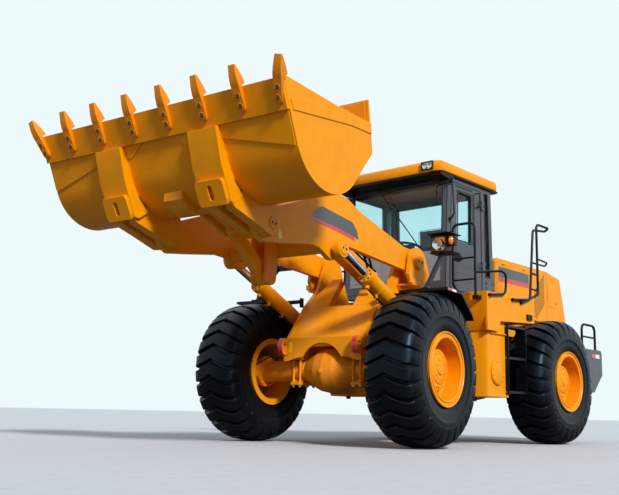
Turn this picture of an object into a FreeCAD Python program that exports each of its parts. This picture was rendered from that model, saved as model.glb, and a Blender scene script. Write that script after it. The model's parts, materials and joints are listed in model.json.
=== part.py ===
import FreeCAD, Part
import math
import os

# Wheel loader, articulated, with a reversed rocker linkage. Millimetres.
# Origin: on the ground under the centre hinge. +X forward, +Y to the machine's left, +Z up.
# The front half is drawn straight ahead and then turned about the centre hinge by restSteer.

V = FreeCAD.Vector

# Driving dimensions: running gear
wheelbase = 3300.0
tread = 2250.0
tyreRadius = 800.0
tyreWidth = 597.0
rimRadius = 330.0
rimFlangeRadius = 381.0
rimWidth = 524.0
restSteer = 5.18

# Driving dimensions: working arm, side view (x, z) with the machine straight
boomPivot = (980.0, 2066.0)
bucketPivot = (3730.0, 2008.0)
liftPin = (2600.0, 1957.0)
liftLength = 1750.0
liftSlope = 23.54
liftExposed = 500.0
rockerPivot = (2900.0, 2280.0)
rockerTop = (2580.0, 2560.0)
rockerFoot = (2930.0, 1670.0)
bucketLinkPin = (3445.0, 2095.0)
tiltFoot = (600.0, 1790.0)
tiltExposed = 560.0
bucketAngle = 67.0

# Driving dimensions: bucket, in its own frame (u along the floor, v up, hinge pin at 0, 0)
bucketHalfWidth = 1490.0
bucketFloor = -430.0
bucketLip = 1210.0
bucketArcRadius = 500.0
bucketArcCentre = (660.0, 70.0)
bucketArcEnd = 153.6
bucketTop = (411.0, 693.0)
bucketGuard = (888.0, 823.0)
bucketSkin = 22.0
bucketCheek = 26.0
toothPitch = 423.0
toothCount = 8

# Driving dimensions: plates, pins and clearances
armCentre = 600.0
armPlate = 64.0
armBoss = 120.0
lugPlate = 36.0
lugGap = 12.0
pinRadius = 42.0
runFit = 0.05
slipGap = 6.0
seatGap = 0.3
liftCentre = 722.0
liftBarrelRadius = 84.0
liftRodRadius = 44.0
tiltBarrelRadius = 112.0
tiltRodRadius = 50.0
steerBarrelRadius = 52.0
steerRodRadius = 26.0

# Driving dimensions: rear frame, cab and body
frameHalf = 470.0
frameTop = 1250.0
deckTop = 1790.0
deckHalf = 1250.0
cabHalf = 780.0
cabFront = 306.0
cabFrontTop = 240.0
cabRear = -840.0
cabRearTop = -790.0
cabRoofBottom = 3268.0
roofThick = 170.0
roofTop = cabRoofBottom + roofThick
tankFront = 100.0
tankInset = 180.0
hoodHalf = 560.0
hoodFront = -1270.0
frameRear = -3300.0
hoodInset = 66.0
hoodRear = frameRear + hoodInset
hoodSkirtRear = hoodRear - 177.0
hoodTop = 2465.0
tailDepth = 260.0
tailX = frameRear - tailDepth
doorThick = 60.0

nodes = {}


def box(x0, x1, y0, y1, z0, z1):
    return Part.makeBox(x1 - x0, y1 - y0, z1 - z0, V(x0, y0, z0))


def rod(radius, start, end):
    base = V(*start)
    along = V(*end) - base
    return Part.makeCylinder(radius, along.Length, base, along)


def pipe(outer, inner, start, end):
    return rod(outer, start, end).cut(rod(inner, start, end))


def pinY(radius, at, y0, y1):
    return Part.makeCylinder(radius, y1 - y0, V(at[0], y0, at[1]), V(0, 1, 0))


def ringY(outer, inner, at, y0, y1):
    return pinY(outer, at, y0, y1).cut(pinY(inner, at, y0, y1))


# A closed side-view outline: each entry is a corner (x, z), or a pair (through, end) for an arc
def outline(entries):
    first = V(entries[0][0], 0, entries[0][1])
    here = first
    edges = []
    for entry in entries[1:]:
        if isinstance(entry[0], tuple):
            through = V(entry[0][0], 0, entry[0][1])
            end = V(entry[1][0], 0, entry[1][1])
            edges.append(Part.Arc(here, through, end).toShape())
        else:
            end = V(entry[0], 0, entry[1])
            edges.append(Part.makeLine(here, end))
        here = end
    if here.distanceToPoint(first) > 0.01:
        edges.append(Part.makeLine(here, first))
    return Part.Face(Part.Wire(edges))


def plateY(entries, y0, y1):
    face = outline(entries)
    face.translate(V(0, y0, 0))
    return face.extrude(V(0, y1 - y0, 0))


# A plate outline given as (y, z) corners, standing across the machine
def plateX(corners, x0, x1):
    points = [V(x0, y, z) for y, z in corners]
    points.append(points[0])
    return Part.Face(Part.makePolygon(points)).extrude(V(x1 - x0, 0, 0))


# A plate outline given as (x, y) corners, lying flat
def plateZ(corners, z0, z1):
    points = [V(x, y, z0) for x, y in corners]
    points.append(points[0])
    return Part.Face(Part.makePolygon(points)).extrude(V(0, 0, z1 - z0))


def fuse(shapes):
    shapes = list(shapes)
    joined = shapes[0].fuse(shapes[1:]) if len(shapes) > 1 else shapes[0]
    return joined.removeSplitter()


def group(shapes):
    return Part.makeCompound(list(shapes))


def mirrored(shape):
    return shape.mirror(V(0, 0, 0), V(0, 1, 0))


def bothSides(shape):
    return group([shape, mirrored(shape)])


def polar(centre, radius, degrees):
    a = math.radians(degrees)
    return (centre[0] + radius * math.cos(a), centre[1] + radius * math.sin(a))


def turn(point, centre, degrees):
    a = math.radians(degrees)
    dx = point[0] - centre[0]
    dz = point[1] - centre[1]
    return (centre[0] + dx * math.cos(a) - dz * math.sin(a), centre[1] + dx * math.sin(a) + dz * math.cos(a))


def along(start, end, distance):
    length = math.dist(start, end)
    share = distance / length
    return (start[0] + (end[0] - start[0]) * share, start[1] + (end[1] - start[1]) * share)


# Puts a shape drawn straight ahead onto the steered front half
def steered(shape):
    copy = shape.copy()
    copy.rotate(V(0, 0, 0), V(0, 0, 1), restSteer)
    return copy


def save(name, shape, front=False):
    nodes[name] = steered(shape) if front else shape


# Wheels: carcass with a flat tread band, and a rim dished to the outside
def tyre(x, side):
    half = tyreWidth / 2.0
    section = [
        (rimRadius + 20.0, -half + 60.0),
        (rimFlangeRadius + 60.0, -half + 8.0),
        (tyreRadius - 180.0, -half),
        (tyreRadius - 60.0, -half + 18.0),
        (tyreRadius - 34.0, -half + 46.0),
        (tyreRadius - 34.0, half - 46.0),
        (tyreRadius - 60.0, half - 18.0),
        (tyreRadius - 180.0, half),
        (rimFlangeRadius + 60.0, half - 8.0),
        (rimRadius + 20.0, half - 60.0),
    ]
    points = [V(r, w, 0) for r, w in section]
    points.append(points[0])
    body = Part.Face(Part.makePolygon(points)).revolve(V(0, 0, 0), V(0, 1, 0), 360.0)
    lugCount = 20
    lugWide = 0.46 * tyreWidth
    lugLong = 150.0
    for hand in (-1, 1):
        for i in range(lugCount):
            lug = box(-lugLong / 2.0, lugLong / 2.0, 0.0, lugWide, tyreRadius - 50.0, tyreRadius - 3.0)
            lug.translate(V(0, 20.0 if hand > 0 else -lugWide - 20.0, 0))
            lug.rotate(V(0, 0, 0), V(0, 1, 0), (i + 0.25 * hand) * 360.0 / lugCount)
            body = body.fuse(lug)
    body.translate(V(x, side * tread / 2.0, tyreRadius))
    return body


hubInner = -30.0


def rim(x, side):
    half = rimWidth / 2.0
    y = side * tread / 2.0
    at = (x, tyreRadius)
    barrel = ringY(rimRadius + 20.0 - seatGap, rimRadius - 10.0, at, y - half, y + half)
    flangeIn = ringY(rimFlangeRadius, rimRadius - 10.0, at, y - half - 14.0, y - half + 1.0)
    flangeOut = ringY(rimFlangeRadius, rimRadius - 10.0, at, y + half - 1.0, y + half + 14.0)
    discAt = y + side * 60.0
    disc = pinY(rimRadius, at, min(discAt, discAt + side * 30.0), max(discAt, discAt + side * 30.0))
    hubEnds = (side * (tread / 2.0 + hubInner), discAt + side * 120.0)
    hub = pinY(206.0, at, min(hubEnds), max(hubEnds))
    plate = pinY(240.0, at, min(discAt + side * 30.0, discAt + side * 50.0), max(discAt + side * 30.0, discAt + side * 50.0))
    return fuse([barrel, flangeIn, flangeOut, disc, hub, plate])


axleX = wheelbase / 2.0
for label, x, side, front in (("front_left", axleX, 1, True), ("front_right", axleX, -1, True),
                              ("rear_left", -axleX, 1, False), ("rear_right", -axleX, -1, False)):
    save("tyre_" + label, tyre(x, side), front)
    save("rim_" + label, rim(x, side), front)


# Axles: banjo housing with a centre bowl, arms and flanges up to the wheel hubs
trunnionRadius = 110.0


def axle(x):
    hubFace = tread / 2.0 + hubInner - seatGap
    profile = [(0.0, -hubFace), (150.0, -hubFace), (150.0, -hubFace + 120.0), (175.0, -hubFace + 120.0),
               (175.0, -hubFace + 170.0), (120.0, -hubFace + 170.0), (120.0, -320.0), (175.0, -230.0), (228.0, -120.0),
               (250.0, 0.0)]
    profile = profile + [(r, -w) for r, w in reversed(profile[:-1])]
    points = [V(r, w, 0) for r, w in profile]
    points.append(points[0])
    housing = Part.Face(Part.makePolygon(points)).revolve(V(0, 0, 0), V(0, 1, 0), 360.0)
    housing.translate(V(x, 0, tyreRadius))
    inward = -1 if x > 0 else 1
    noseLong = 260.0 if x > 0 else 120.0
    nose = Part.makeCone(150.0, 95.0, noseLong, V(x + inward * 150.0, 0, tyreRadius), V(inward, 0, 0))
    pieces = [housing, nose]
    if x < 0:
        pieces.append(rod(trunnionRadius, (x - 330.0, 0.0, tyreRadius), (x + 330.0, 0.0, tyreRadius)))
    return fuse(pieces)


save("front_axle", axle(axleX), True)
save("rear_axle", axle(-axleX))

# Front chassis: two side plates, outer tower plates for the boom pins, slanted front plate
sidePlateIn = 470.0
sidePlateOut = 515.0
towerIn = armCentre + armBoss / 2.0 + slipGap
towerOut = towerIn + 40.0
towerInner = armCentre - armBoss / 2.0 - slipGap
liftFoot = polar(liftPin, liftLength, 180.0 + liftSlope)

chassisRear = 470.0
chassisSide = plateY([(chassisRear, 560.0), (900.0, 560.0), (1320.0, 700.0), (1400.0, 1035.0), (1860.0, 1035.0),
                      (1860.0, 1130.0), (1520.0, 1560.0), (1300.0, 1760.0), (1130.0, 2130.0),
                      ((boomPivot[0], boomPivot[1] + 160.0), (830.0, 2130.0)), (700.0, 1820.0),
                      (chassisRear, 1400.0)], sidePlateIn, sidePlateOut)
towerPlate = plateY([(700.0, 1800.0), (1150.0, 1800.0), (1200.0, 1900.0), (1160.0, 2110.0),
                     ((boomPivot[0], boomPivot[1] + 165.0), (820.0, 2150.0)), (700.0, 1920.0)], towerIn, towerOut)
towerCap = pinY(92.0, boomPivot, towerOut, towerOut + 22.0)
towerWebRear = box(700.0, 730.0, sidePlateOut, towerIn, 1800.0, 1900.0)
towerFloor = box(700.0, 950.0, sidePlateOut, towerIn, 1800.0, 1825.0)
boomPinStub = pinY(pinRadius, boomPivot, sidePlateOut, towerIn)
towerCollar = pinY(100.0, boomPivot, sidePlateOut, towerInner)
liftEyeHalf = 36.0
liftLugIn = plateY([(liftFoot[0] - 110.0, 1060.0), (liftFoot[0] + 100.0, 1060.0), (liftFoot[0] + 90.0, liftFoot[1]),
                    ((liftFoot[0], liftFoot[1] + 90.0), (liftFoot[0] - 90.0, liftFoot[1]))],
                   liftCentre - liftEyeHalf - slipGap - lugPlate, liftCentre - liftEyeHalf - slipGap)
liftLugOut = liftLugIn.copy()
liftLugOut.translate(V(0, 2.0 * (liftEyeHalf + slipGap) + lugPlate, 0))
liftLugBase = box(liftFoot[0] - 110.0, liftFoot[0] + 100.0, sidePlateOut, liftCentre + liftEyeHalf + slipGap + lugPlate,
                  1030.0, 1060.0)
liftLugPin = pinY(pinRadius, liftFoot, liftCentre - liftEyeHalf - slipGap - lugPlate,
                  liftCentre + liftEyeHalf + slipGap + lugPlate)
chassisHalf = fuse([chassisSide, towerPlate, towerCap, towerWebRear, towerFloor, boomPinStub, towerCollar,
                    liftLugIn, liftLugOut, liftLugBase, liftLugPin])
hingeUpper = (1250.0, 1310.0)
hingeLower = (640.0, 700.0)
hingeTongue = []
for z0, z1 in (hingeUpper, hingeLower):
    tongue = plateZ([(0, -130.0), (200.0, -sidePlateIn), (700.0, -sidePlateIn), (700.0, sidePlateIn),
                     (200.0, sidePlateIn), (0, 130.0)], z0, z1)
    tongue = tongue.fuse(Part.makeCylinder(130.0, z1 - z0, V(0, 0, z0)))
    hingeTongue.append(tongue.cut(Part.makeCylinder(60.0 + runFit, z1 - z0, V(0, 0, z0))))
slantTop = (1520.0, 1540.0)
slantFoot = (1860.0, 1110.0)
slantPlate = plateY([slantTop, slantFoot, (slantFoot[0] - 30.0, slantFoot[1] - 25.0), (slantTop[0] - 30.0, slantTop[1] - 25.0)],
                    -sidePlateIn, sidePlateIn)
axleBridge = box(1400.0, 1860.0, -sidePlateIn, sidePlateIn, 1060.0, 1100.0)
axleSeat = box(1500.0, 1800.0, sidePlateIn - 140.0, sidePlateIn, tyreRadius + 120.0 + seatGap, 1060.0)
rearWall = box(chassisRear, chassisRear + 40.0, -sidePlateIn, sidePlateIn, 700.0, 1250.0)
tiltEyeHalf = 50.0
tiltLug = plateY([(chassisRear, 1310.0), (760.0, 1310.0), (tiltFoot[0] + 100.0, tiltFoot[1]),
                  ((tiltFoot[0], tiltFoot[1] + 100.0), (tiltFoot[0] - 100.0, tiltFoot[1]))],
                 tiltEyeHalf + slipGap, tiltEyeHalf + slipGap + lugPlate)
tiltPin = pinY(pinRadius, tiltFoot, -tiltEyeHalf - slipGap - lugPlate, tiltEyeHalf + slipGap + lugPlate)
steerHead = (340.0, 330.0)
steerZ = 980.0
steerRodEyeHalf = 25.0
steerHeadLug = []
for side in (-1, 1):
    for z0 in (steerZ - steerRodEyeHalf - slipGap - 25.0, steerZ + steerRodEyeHalf + slipGap):
        ear = box(steerHead[0], chassisRear, side * steerHead[1] - 60.0, side * steerHead[1] + 60.0, z0, z0 + 25.0)
        steerHeadLug.append(ear.fuse(Part.makeCylinder(60.0, 25.0, V(steerHead[0], side * steerHead[1], z0))))
tieAt = (1925.0, 1085.0)
tieBore = 24.0
tiePlate = plateY([(1850.0, 1035.0), (1925.0, 1035.0), ((1975.0, 1085.0), (1925.0, 1135.0)), (1850.0, 1130.0)],
                  sidePlateIn, sidePlateOut)
tiePlate = tiePlate.cut(pinY(tieBore, tieAt, sidePlateIn, sidePlateOut))
save("front_chassis", fuse([tiePlate, mirrored(tiePlate), chassisHalf, mirrored(chassisHalf)] + hingeTongue
                           + [slantPlate, axleBridge, axleSeat, mirrored(axleSeat), rearWall,
                              tiltLug, mirrored(tiltLug), tiltPin] + steerHeadLug), True)

# Front fenders with a flat top and a drop at the rear
fenderFlat = tyreRadius + 890.0
fenderSkin = 22.0
fenderRear = axleX - 610.0
fenderTop = [(axleX + 800.0, fenderFlat - 130.0), (axleX + 10.0, fenderFlat), (axleX - 370.0, fenderFlat),
             (axleX - 590.0, fenderFlat - 250.0), (fenderRear, fenderFlat - 232.0), (axleX - 385.0, fenderFlat + fenderSkin),
             (axleX + 14.0, fenderFlat + fenderSkin), (axleX + 805.0, fenderFlat - 109.0)]
fender = plateY(fenderTop, 850.0, 1420.0)
fenderStay = box(fenderRear - 90.0, fenderRear, sidePlateOut, 885.0, fenderFlat - 50.0, fenderFlat)
fenderRail = box(fenderRear - 90.0, axleX - 150.0, 850.0, 885.0, fenderFlat - 30.0, fenderFlat)
save("front_fenders", bothSides(fuse([fender, fenderStay, fenderRail])), True)

# Headlamps on slanted posts
lampFoot = fenderFlat + fenderSkin
lampBottom = 2150.0
lampPost = plateY([(axleX - 10.0, lampFoot), (axleX + 50.0, lampFoot), (axleX - 380.0, lampBottom), (axleX - 440.0, lampBottom)],
                  1130.0, 1170.0)
save("lamp_posts", bothSides(lampPost), True)
headlamp = box(axleX - 570.0, axleX - 360.0, 1020.0, 1280.0, lampBottom, lampBottom + 150.0)
save("headlamps", bothSides(headlamp), True)

# Boom: two bent arms, a cross tube and the rocker lugs
armOutline = [(bucketPivot[0] + 70.0, 1900.0), (3710.0, 1852.0), (3465.0, 1882.0), (2980.0, 1950.0), (2850.0, 1942.0),
              (2690.0, 1872.0), ((2600.0, 1850.0), (2510.0, 1895.0)), (2440.0, 2040.0), (1109.0, 1950.0),
              ((830.0, 2066.0), (1020.0, 2212.0)),
              (1173.0, 2215.0), (2128.0, 2447.0), (2300.0, 2515.0), ((2452.0, 2546.0), (2620.0, 2522.0)),
              (3042.0, 2392.0), (3690.0, 2158.0), ((3868.0, 2075.0), (bucketPivot[0] + 70.0, 1900.0))]
armIn = armCentre - armPlate / 2.0
armOut = armCentre + armPlate / 2.0
arm = plateY(armOutline, armIn, armOut)
armFootBoss = pinY(115.0, boomPivot, armCentre - armBoss / 2.0, armCentre + armBoss / 2.0)
arm = arm.fuse(armFootBoss)
arm = arm.cut(pinY(pinRadius + runFit, boomPivot, 400.0, 900.0))
arm = arm.cut(pinY(pinRadius + runFit, bucketPivot, 400.0, 900.0))
crossAt = polar(rockerPivot, 335.0, 238.0)
boomCross = pinY(95.0, crossAt, -armIn, armIn)
rockerLugIn = 110.0
rockerLug = plateY([polar(crossAt, 80.0, 330.0), polar(rockerPivot, 95.0, 330.0),
                    (polar(rockerPivot, 95.0, 60.0), polar(rockerPivot, 95.0, 150.0)),
                    polar(crossAt, 80.0, 150.0)], rockerLugIn, rockerLugIn + lugPlate)
rockerPin = pinY(pinRadius, rockerPivot, -rockerLugIn - lugPlate, rockerLugIn + lugPlate)
save("boom", fuse([arm, mirrored(arm), boomCross, rockerLug, mirrored(rockerLug), rockerPin]), True)

# Rocker: a thick bent lever on the boom's lugs, clevis plates at both ends
rockerHalf = rockerLugIn - slipGap
rockerSlot = rockerHalf - lugPlate
rockerHub = pinY(90.0, rockerPivot, -rockerHalf, rockerHalf)
rockerArm = []
for y0, y1 in ((-rockerHalf, -rockerSlot), (rockerSlot, rockerHalf)):
    rockerArm.append(plateY([polar(rockerTop, 80.0, 240.0), polar(rockerPivot, 110.0, 200.0),
                             polar(rockerFoot, 80.0, 180.0),
                             (polar(rockerFoot, 80.0, 270.0), polar(rockerFoot, 80.0, 0.0)),
                             polar(rockerPivot, 105.0, 350.0), polar(rockerPivot, 105.0, 70.0),
                             polar(rockerTop, 80.0, 60.0), (polar(rockerTop, 80.0, 150.0), polar(rockerTop, 80.0, 240.0))],
                            y0, y1))
rocker = fuse(rockerArm + [rockerHub])
rocker = rocker.cut(pinY(pinRadius + runFit, rockerPivot, -200.0, 200.0))
footPin = pinY(pinRadius, rockerFoot, -rockerHalf, rockerHalf)
save("rocker", rocker.fuse(footPin), True)

# Link from the rocker's foot to the bucket
linkHalf = 40.0
linkEye = 75.0
linkTip = 60.0
link = plateY([polar(rockerFoot, linkEye, 130.0), (polar(rockerFoot, linkEye, 210.0), polar(rockerFoot, linkEye, 310.0)),
               polar(bucketLinkPin, linkTip, 310.0),
               (polar(bucketLinkPin, linkTip, 40.0), polar(bucketLinkPin, linkTip, 130.0))],
              -linkHalf, linkHalf)
link = link.cut(pinY(pinRadius + runFit, rockerFoot, -100.0, 100.0))
linkBoss = ringY(70.0, pinRadius + runFit, rockerFoot, -rockerSlot + slipGap, rockerSlot - slipGap)
save("link", link.fuse(linkBoss), True)


# The bucket is drawn in its own frame and then put on the hinge pin
def ontoArm(shape):
    copy = shape.copy()
    copy.rotate(V(0, 0, 0), V(0, 1, 0), -bucketAngle)
    copy.translate(V(bucketPivot[0], 0, bucketPivot[1]))
    return copy


def toBucket(point):
    dx = point[0] - bucketPivot[0]
    dz = point[1] - bucketPivot[1]
    a = math.radians(bucketAngle)
    return (dx * math.cos(a) + dz * math.sin(a), -dx * math.sin(a) + dz * math.cos(a))


arcStart = (bucketArcCentre[0], bucketFloor)
arcMiddle = (270.0 + bucketArcEnd) / 2.0
innerRadius = bucketArcRadius - bucketSkin
guardAngle = math.degrees(math.atan2(bucketGuard[1] - bucketTop[1], bucketGuard[0] - bucketTop[0]))
guardInner = polar(bucketGuard, bucketSkin, guardAngle - 90.0)
topInner = (bucketTop[0] + bucketSkin * 0.55, bucketTop[1] - bucketSkin * 1.1)
shellOutline = [(bucketLip - 60.0, bucketFloor), arcStart,
                (polar(bucketArcCentre, bucketArcRadius, arcMiddle), polar(bucketArcCentre, bucketArcRadius, bucketArcEnd)),
                bucketTop, bucketGuard, guardInner, topInner, polar(bucketArcCentre, innerRadius, bucketArcEnd),
                (polar(bucketArcCentre, innerRadius, arcMiddle), (bucketArcCentre[0], bucketFloor + bucketSkin)),
                (bucketLip - 60.0, bucketFloor + bucketSkin)]
shell = plateY(shellOutline, -bucketHalfWidth, bucketHalfWidth)
cheekOutline = [(bucketLip, bucketFloor), arcStart,
                (polar(bucketArcCentre, bucketArcRadius, arcMiddle), polar(bucketArcCentre, bucketArcRadius, bucketArcEnd)),
                bucketTop, (678.0, 765.0), (885.0, 296.0), (bucketLip, bucketFloor + 45.0)]
cheek = plateY(cheekOutline, bucketHalfWidth - bucketCheek, bucketHalfWidth)
save("bucket_shell", ontoArm(fuse([shell, cheek, mirrored(cheek)])), True)

edgePlate = 34.0
edge = plateY([(948.0, bucketFloor - seatGap), (bucketLip - 30.0, bucketFloor - seatGap), (bucketLip, bucketFloor - edgePlate + 8.0),
               (bucketLip, bucketFloor - edgePlate), (948.0, bucketFloor - edgePlate)], -bucketHalfWidth, bucketHalfWidth)
save("cutting_edge", ontoArm(edge), True)

toothTop = bucketFloor - edgePlate
toothPlan = [(1395.0, toothTop - 36.0), (1395.0, toothTop - 22.0), (bucketLip + 24.0, toothTop + 46.0), (bucketLip + 24.0, toothTop - seatGap),
             (1000.0, toothTop - seatGap), (1000.0, toothTop - 30.0), (1100.0, toothTop - 60.0), (1230.0, toothTop - 66.0)]
teeth = []
for i in range(toothCount):
    y = (i - (toothCount - 1) / 2.0) * toothPitch
    tooth = plateY(toothPlan, -52.0, 52.0)
    if i in (0, toothCount - 1):
        tooth.rotate(V(1000.0, 0, 0), V(0, 0, 1), math.copysign(8.0, y))
    tooth.translate(V(0, math.copysign(min(abs(y), bucketHalfWidth - 62.0), y), 0))
    teeth.append(tooth)
save("bucket_teeth", ontoArm(group(teeth)), True)

# Hinge ribs on the bucket's back: two lug plates beside each arm and a box rib along the floor
lugInner = armPlate / 2.0 + lugGap
ribOutline = [(930.0, bucketFloor - seatGap), (bucketArcCentre[0], bucketFloor - seatGap),
              (polar(bucketArcCentre, bucketArcRadius + seatGap, 220.0), polar(bucketArcCentre, bucketArcRadius + seatGap, 172.0)),
              (60.0, 130.0), ((-120.0, 20.0), (-60.0, -110.0)), (240.0, -470.0), (640.0, -500.0), (930.0, -470.0)]
ribs = []
for out in (-1, 1):
    y = armCentre + out * (lugInner + lugPlate / 2.0)
    ribs.append(plateY(ribOutline, y - lugPlate / 2.0, y + lugPlate / 2.0))
padReach = lugInner + lugPlate + 40.0
ribs.append(plateY([(925.0, -440.0), (300.0, -460.0), (300.0, -505.0), (640.0, -525.0), (925.0, -495.0)],
                   armCentre - padReach, armCentre + padReach))
ribs.append(pinY(pinRadius, (0, 0), armCentre - lugInner - lugPlate, armCentre + lugInner + lugPlate))
arms = fuse(ribs)
linkAt = toBucket(bucketLinkPin)
lugFrom = linkHalf + slipGap
lugTo = lugFrom + lugPlate
centreLug = plateY([polar(bucketArcCentre, bucketArcRadius - 60.0, 208.0), polar(bucketArcCentre, bucketArcRadius - 60.0, 162.0),
                    (linkAt[0] + 20.0, linkAt[1] + 80.0), (linkAt[0] - 20.0, linkAt[1] - 80.0)], lugFrom, lugTo)
centreLug = centreLug.cut(pinY(bucketArcRadius + seatGap, bucketArcCentre, lugFrom - 10.0, lugTo + 10.0))
centreLug = fuse([centreLug, pinY(82.0, linkAt, lugFrom, lugTo + 18.0)])
save("bucket_lugs", ontoArm(group([arms, mirrored(arms), centreLug, mirrored(centreLug)])), True)


# Cylinders: a hollow barrel with an end eye, and a rod with a piston and a front eye
def cylinderBarrel(foot, head, exposed, radius, rodRadius, eyeHalf, y):
    length = math.dist(foot, head) - exposed
    start = along(foot, head, radius + 20.0)
    end = along(foot, head, length)
    bore = along(foot, head, radius + 50.0)
    gland = along(foot, head, length - 50.0)
    body = rod(radius, (start[0], y, start[1]), (end[0], y, end[1]))
    body = body.cut(rod(radius - 16.0, (bore[0], y, bore[1]), (gland[0], y, gland[1])))
    body = body.cut(rod(rodRadius + runFit, (gland[0], y, gland[1]), (end[0], y, end[1])))
    eye = pinY(radius * 0.86, foot, y - eyeHalf, y + eyeHalf)
    neck = rod(radius * 0.7, (foot[0], y, foot[1]), (start[0], y, start[1]))
    neck = neck.common(box(foot[0] - 2.0 * radius, foot[0] + 2.0 * radius, y - eyeHalf, y + eyeHalf,
                           foot[1] - 2.0 * radius, foot[1] + 2.0 * radius))
    return fuse([body, eye, neck]).cut(pinY(pinRadius + runFit, foot, y - eyeHalf, y + eyeHalf))


def cylinderRod(foot, head, exposed, radius, rodRadius, eyeHalf, y, reach):
    length = math.dist(foot, head)
    back = along(foot, head, length - exposed - reach)
    tip = along(foot, head, length - 40.0)
    crown = along(foot, head, length - exposed - reach + 50.0)
    shaft = rod(rodRadius, (back[0], y, back[1]), (tip[0], y, tip[1]))
    piston = rod(radius - 16.0 - runFit, (back[0], y, back[1]), (crown[0], y, crown[1]))
    eye = pinY(88.0, head, y - eyeHalf, y + eyeHalf)
    return fuse([shaft, piston, eye])


for label, side in (("left", 1), ("right", -1)):
    y = side * liftCentre
    stud = pinY(pinRadius, liftPin, armOut + seatGap, liftCentre)
    if side < 0:
        stud = mirrored(stud)
    save("lift_barrel_" + label, cylinderBarrel(liftFoot, liftPin, liftExposed, liftBarrelRadius, liftRodRadius,
                                                liftEyeHalf, y), True)
    piston = cylinderRod(liftFoot, liftPin, liftExposed, liftBarrelRadius, liftRodRadius, liftEyeHalf, y, 695.0)
    save("lift_rod_" + label, fuse([piston, stud]), True)
save("tilt_barrel", cylinderBarrel(tiltFoot, rockerTop, tiltExposed, tiltBarrelRadius, tiltRodRadius, tiltEyeHalf, 0.0), True)
tiltRodEyeHalf = 48.0
save("tilt_rod", cylinderRod(tiltFoot, rockerTop, tiltExposed, tiltBarrelRadius, tiltRodRadius, tiltRodEyeHalf, 0.0,
                             500.0), True)

# Rear chassis: side plates, hinge forks, cross walls and the axle cradle
rearWallX = -780.0
archHalf = 400.0
archTop = 1010.0
rearSide = plateY([(rearWallX, 620.0), (rearWallX, 1390.0), (rearWallX - 120.0, 1390.0), (rearWallX - 720.0, frameTop),
                   (frameRear, frameTop), (frameRear, 860.0), (-axleX - archHalf - 250.0, 900.0),
                   (-axleX - archHalf, archTop), (-axleX + archHalf, archTop), (rearWallX - 220.0, 620.0)],
                  frameHalf - 45.0, frameHalf)
forks = []
for z0, z1 in ((hingeUpper[0] - 50.0 - slipGap, hingeUpper[0] - slipGap), (hingeUpper[1] + slipGap, hingeUpper[1] + 50.0 + slipGap),
               (hingeLower[0] - 50.0 - slipGap, hingeLower[0] - slipGap), (hingeLower[1] + slipGap, hingeLower[1] + 50.0 + slipGap)):
    fork = plateZ([(0, -130.0), (-330.0, -frameHalf), (rearWallX, -frameHalf), (rearWallX, frameHalf),
                   (-330.0, frameHalf), (0, 130.0)], z0, z1)
    forks.append(fork.fuse(Part.makeCylinder(130.0, z1 - z0, V(0, 0, z0))))
hingePins = []
for z0, z1 in (hingeUpper, hingeLower):
    hingePins.append(Part.makeCylinder(60.0, z1 - z0 + 100.0 + 2.0 * slipGap, V(0, 0, z0 - 50.0 - slipGap)))
crossFront = box(rearWallX - 40.0, rearWallX, -frameHalf + 45.0, frameHalf - 45.0, 584.0, 1366.0)
steerFoot = (-680.0, 330.0)
steerEyeHalf = 30.0
steerFootLug = []
for side in (-1, 1):
    for z0 in (steerZ - steerEyeHalf - slipGap - 25.0, steerZ + steerEyeHalf + slipGap):
        ear = box(rearWallX, steerFoot[0], side * steerFoot[1] - 60.0, side * steerFoot[1] + 60.0, z0, z0 + 25.0)
        steerFootLug.append(ear.fuse(Part.makeCylinder(60.0, 25.0, V(steerFoot[0], side * steerFoot[1], z0))))
    steerFootLug.append(Part.makeCylinder(25.0, 2.0 * (steerEyeHalf + slipGap + 25.0),
                                          V(steerFoot[0], side * steerFoot[1], steerZ - steerEyeHalf - slipGap - 25.0)))
crossRear = box(frameRear, frameRear + 50.0, -frameHalf + 45.0, frameHalf - 45.0, 880.0, 1240.0)
cradle = box(-axleX - 330.0, -axleX + 330.0, -frameHalf + 45.0, frameHalf - 45.0, 1070.0, 1110.0)
hangers = []
for x in (-axleX - 325.0, -axleX + 285.0):
    hanger = box(x, x + 40.0, -170.0, 170.0, 660.0, 1070.0)
    hangers.append(hanger.cut(rod(trunnionRadius + seatGap, (x, 0.0, tyreRadius), (x + 40.0, 0.0, tyreRadius))))
save("rear_chassis", fuse([rearSide, mirrored(rearSide), crossFront, crossRear, cradle] + hangers + forks + hingePins + steerFootLug))

# Engine block with its gearbox
engineFeet = []
engineRear = frameRear + 300.0
for x in (engineRear + 100.0, -2100.0):
    for y in (-frameHalf, 300.0):
        engineFeet.append(box(x, x + 100.0, y, y + frameHalf - 300.0, frameTop + seatGap, frameTop + 90.0))
engineFront = -1750.0
engineBlock = box(engineRear, engineFront, -330.0, 330.0, 1300.0, 2150.0)
gearbox = box(engineFront, -1100.0, -300.0, 300.0, 1130.0, 1400.0)
save("engine_block", fuse(engineFeet + [engineBlock, gearbox]))

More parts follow.
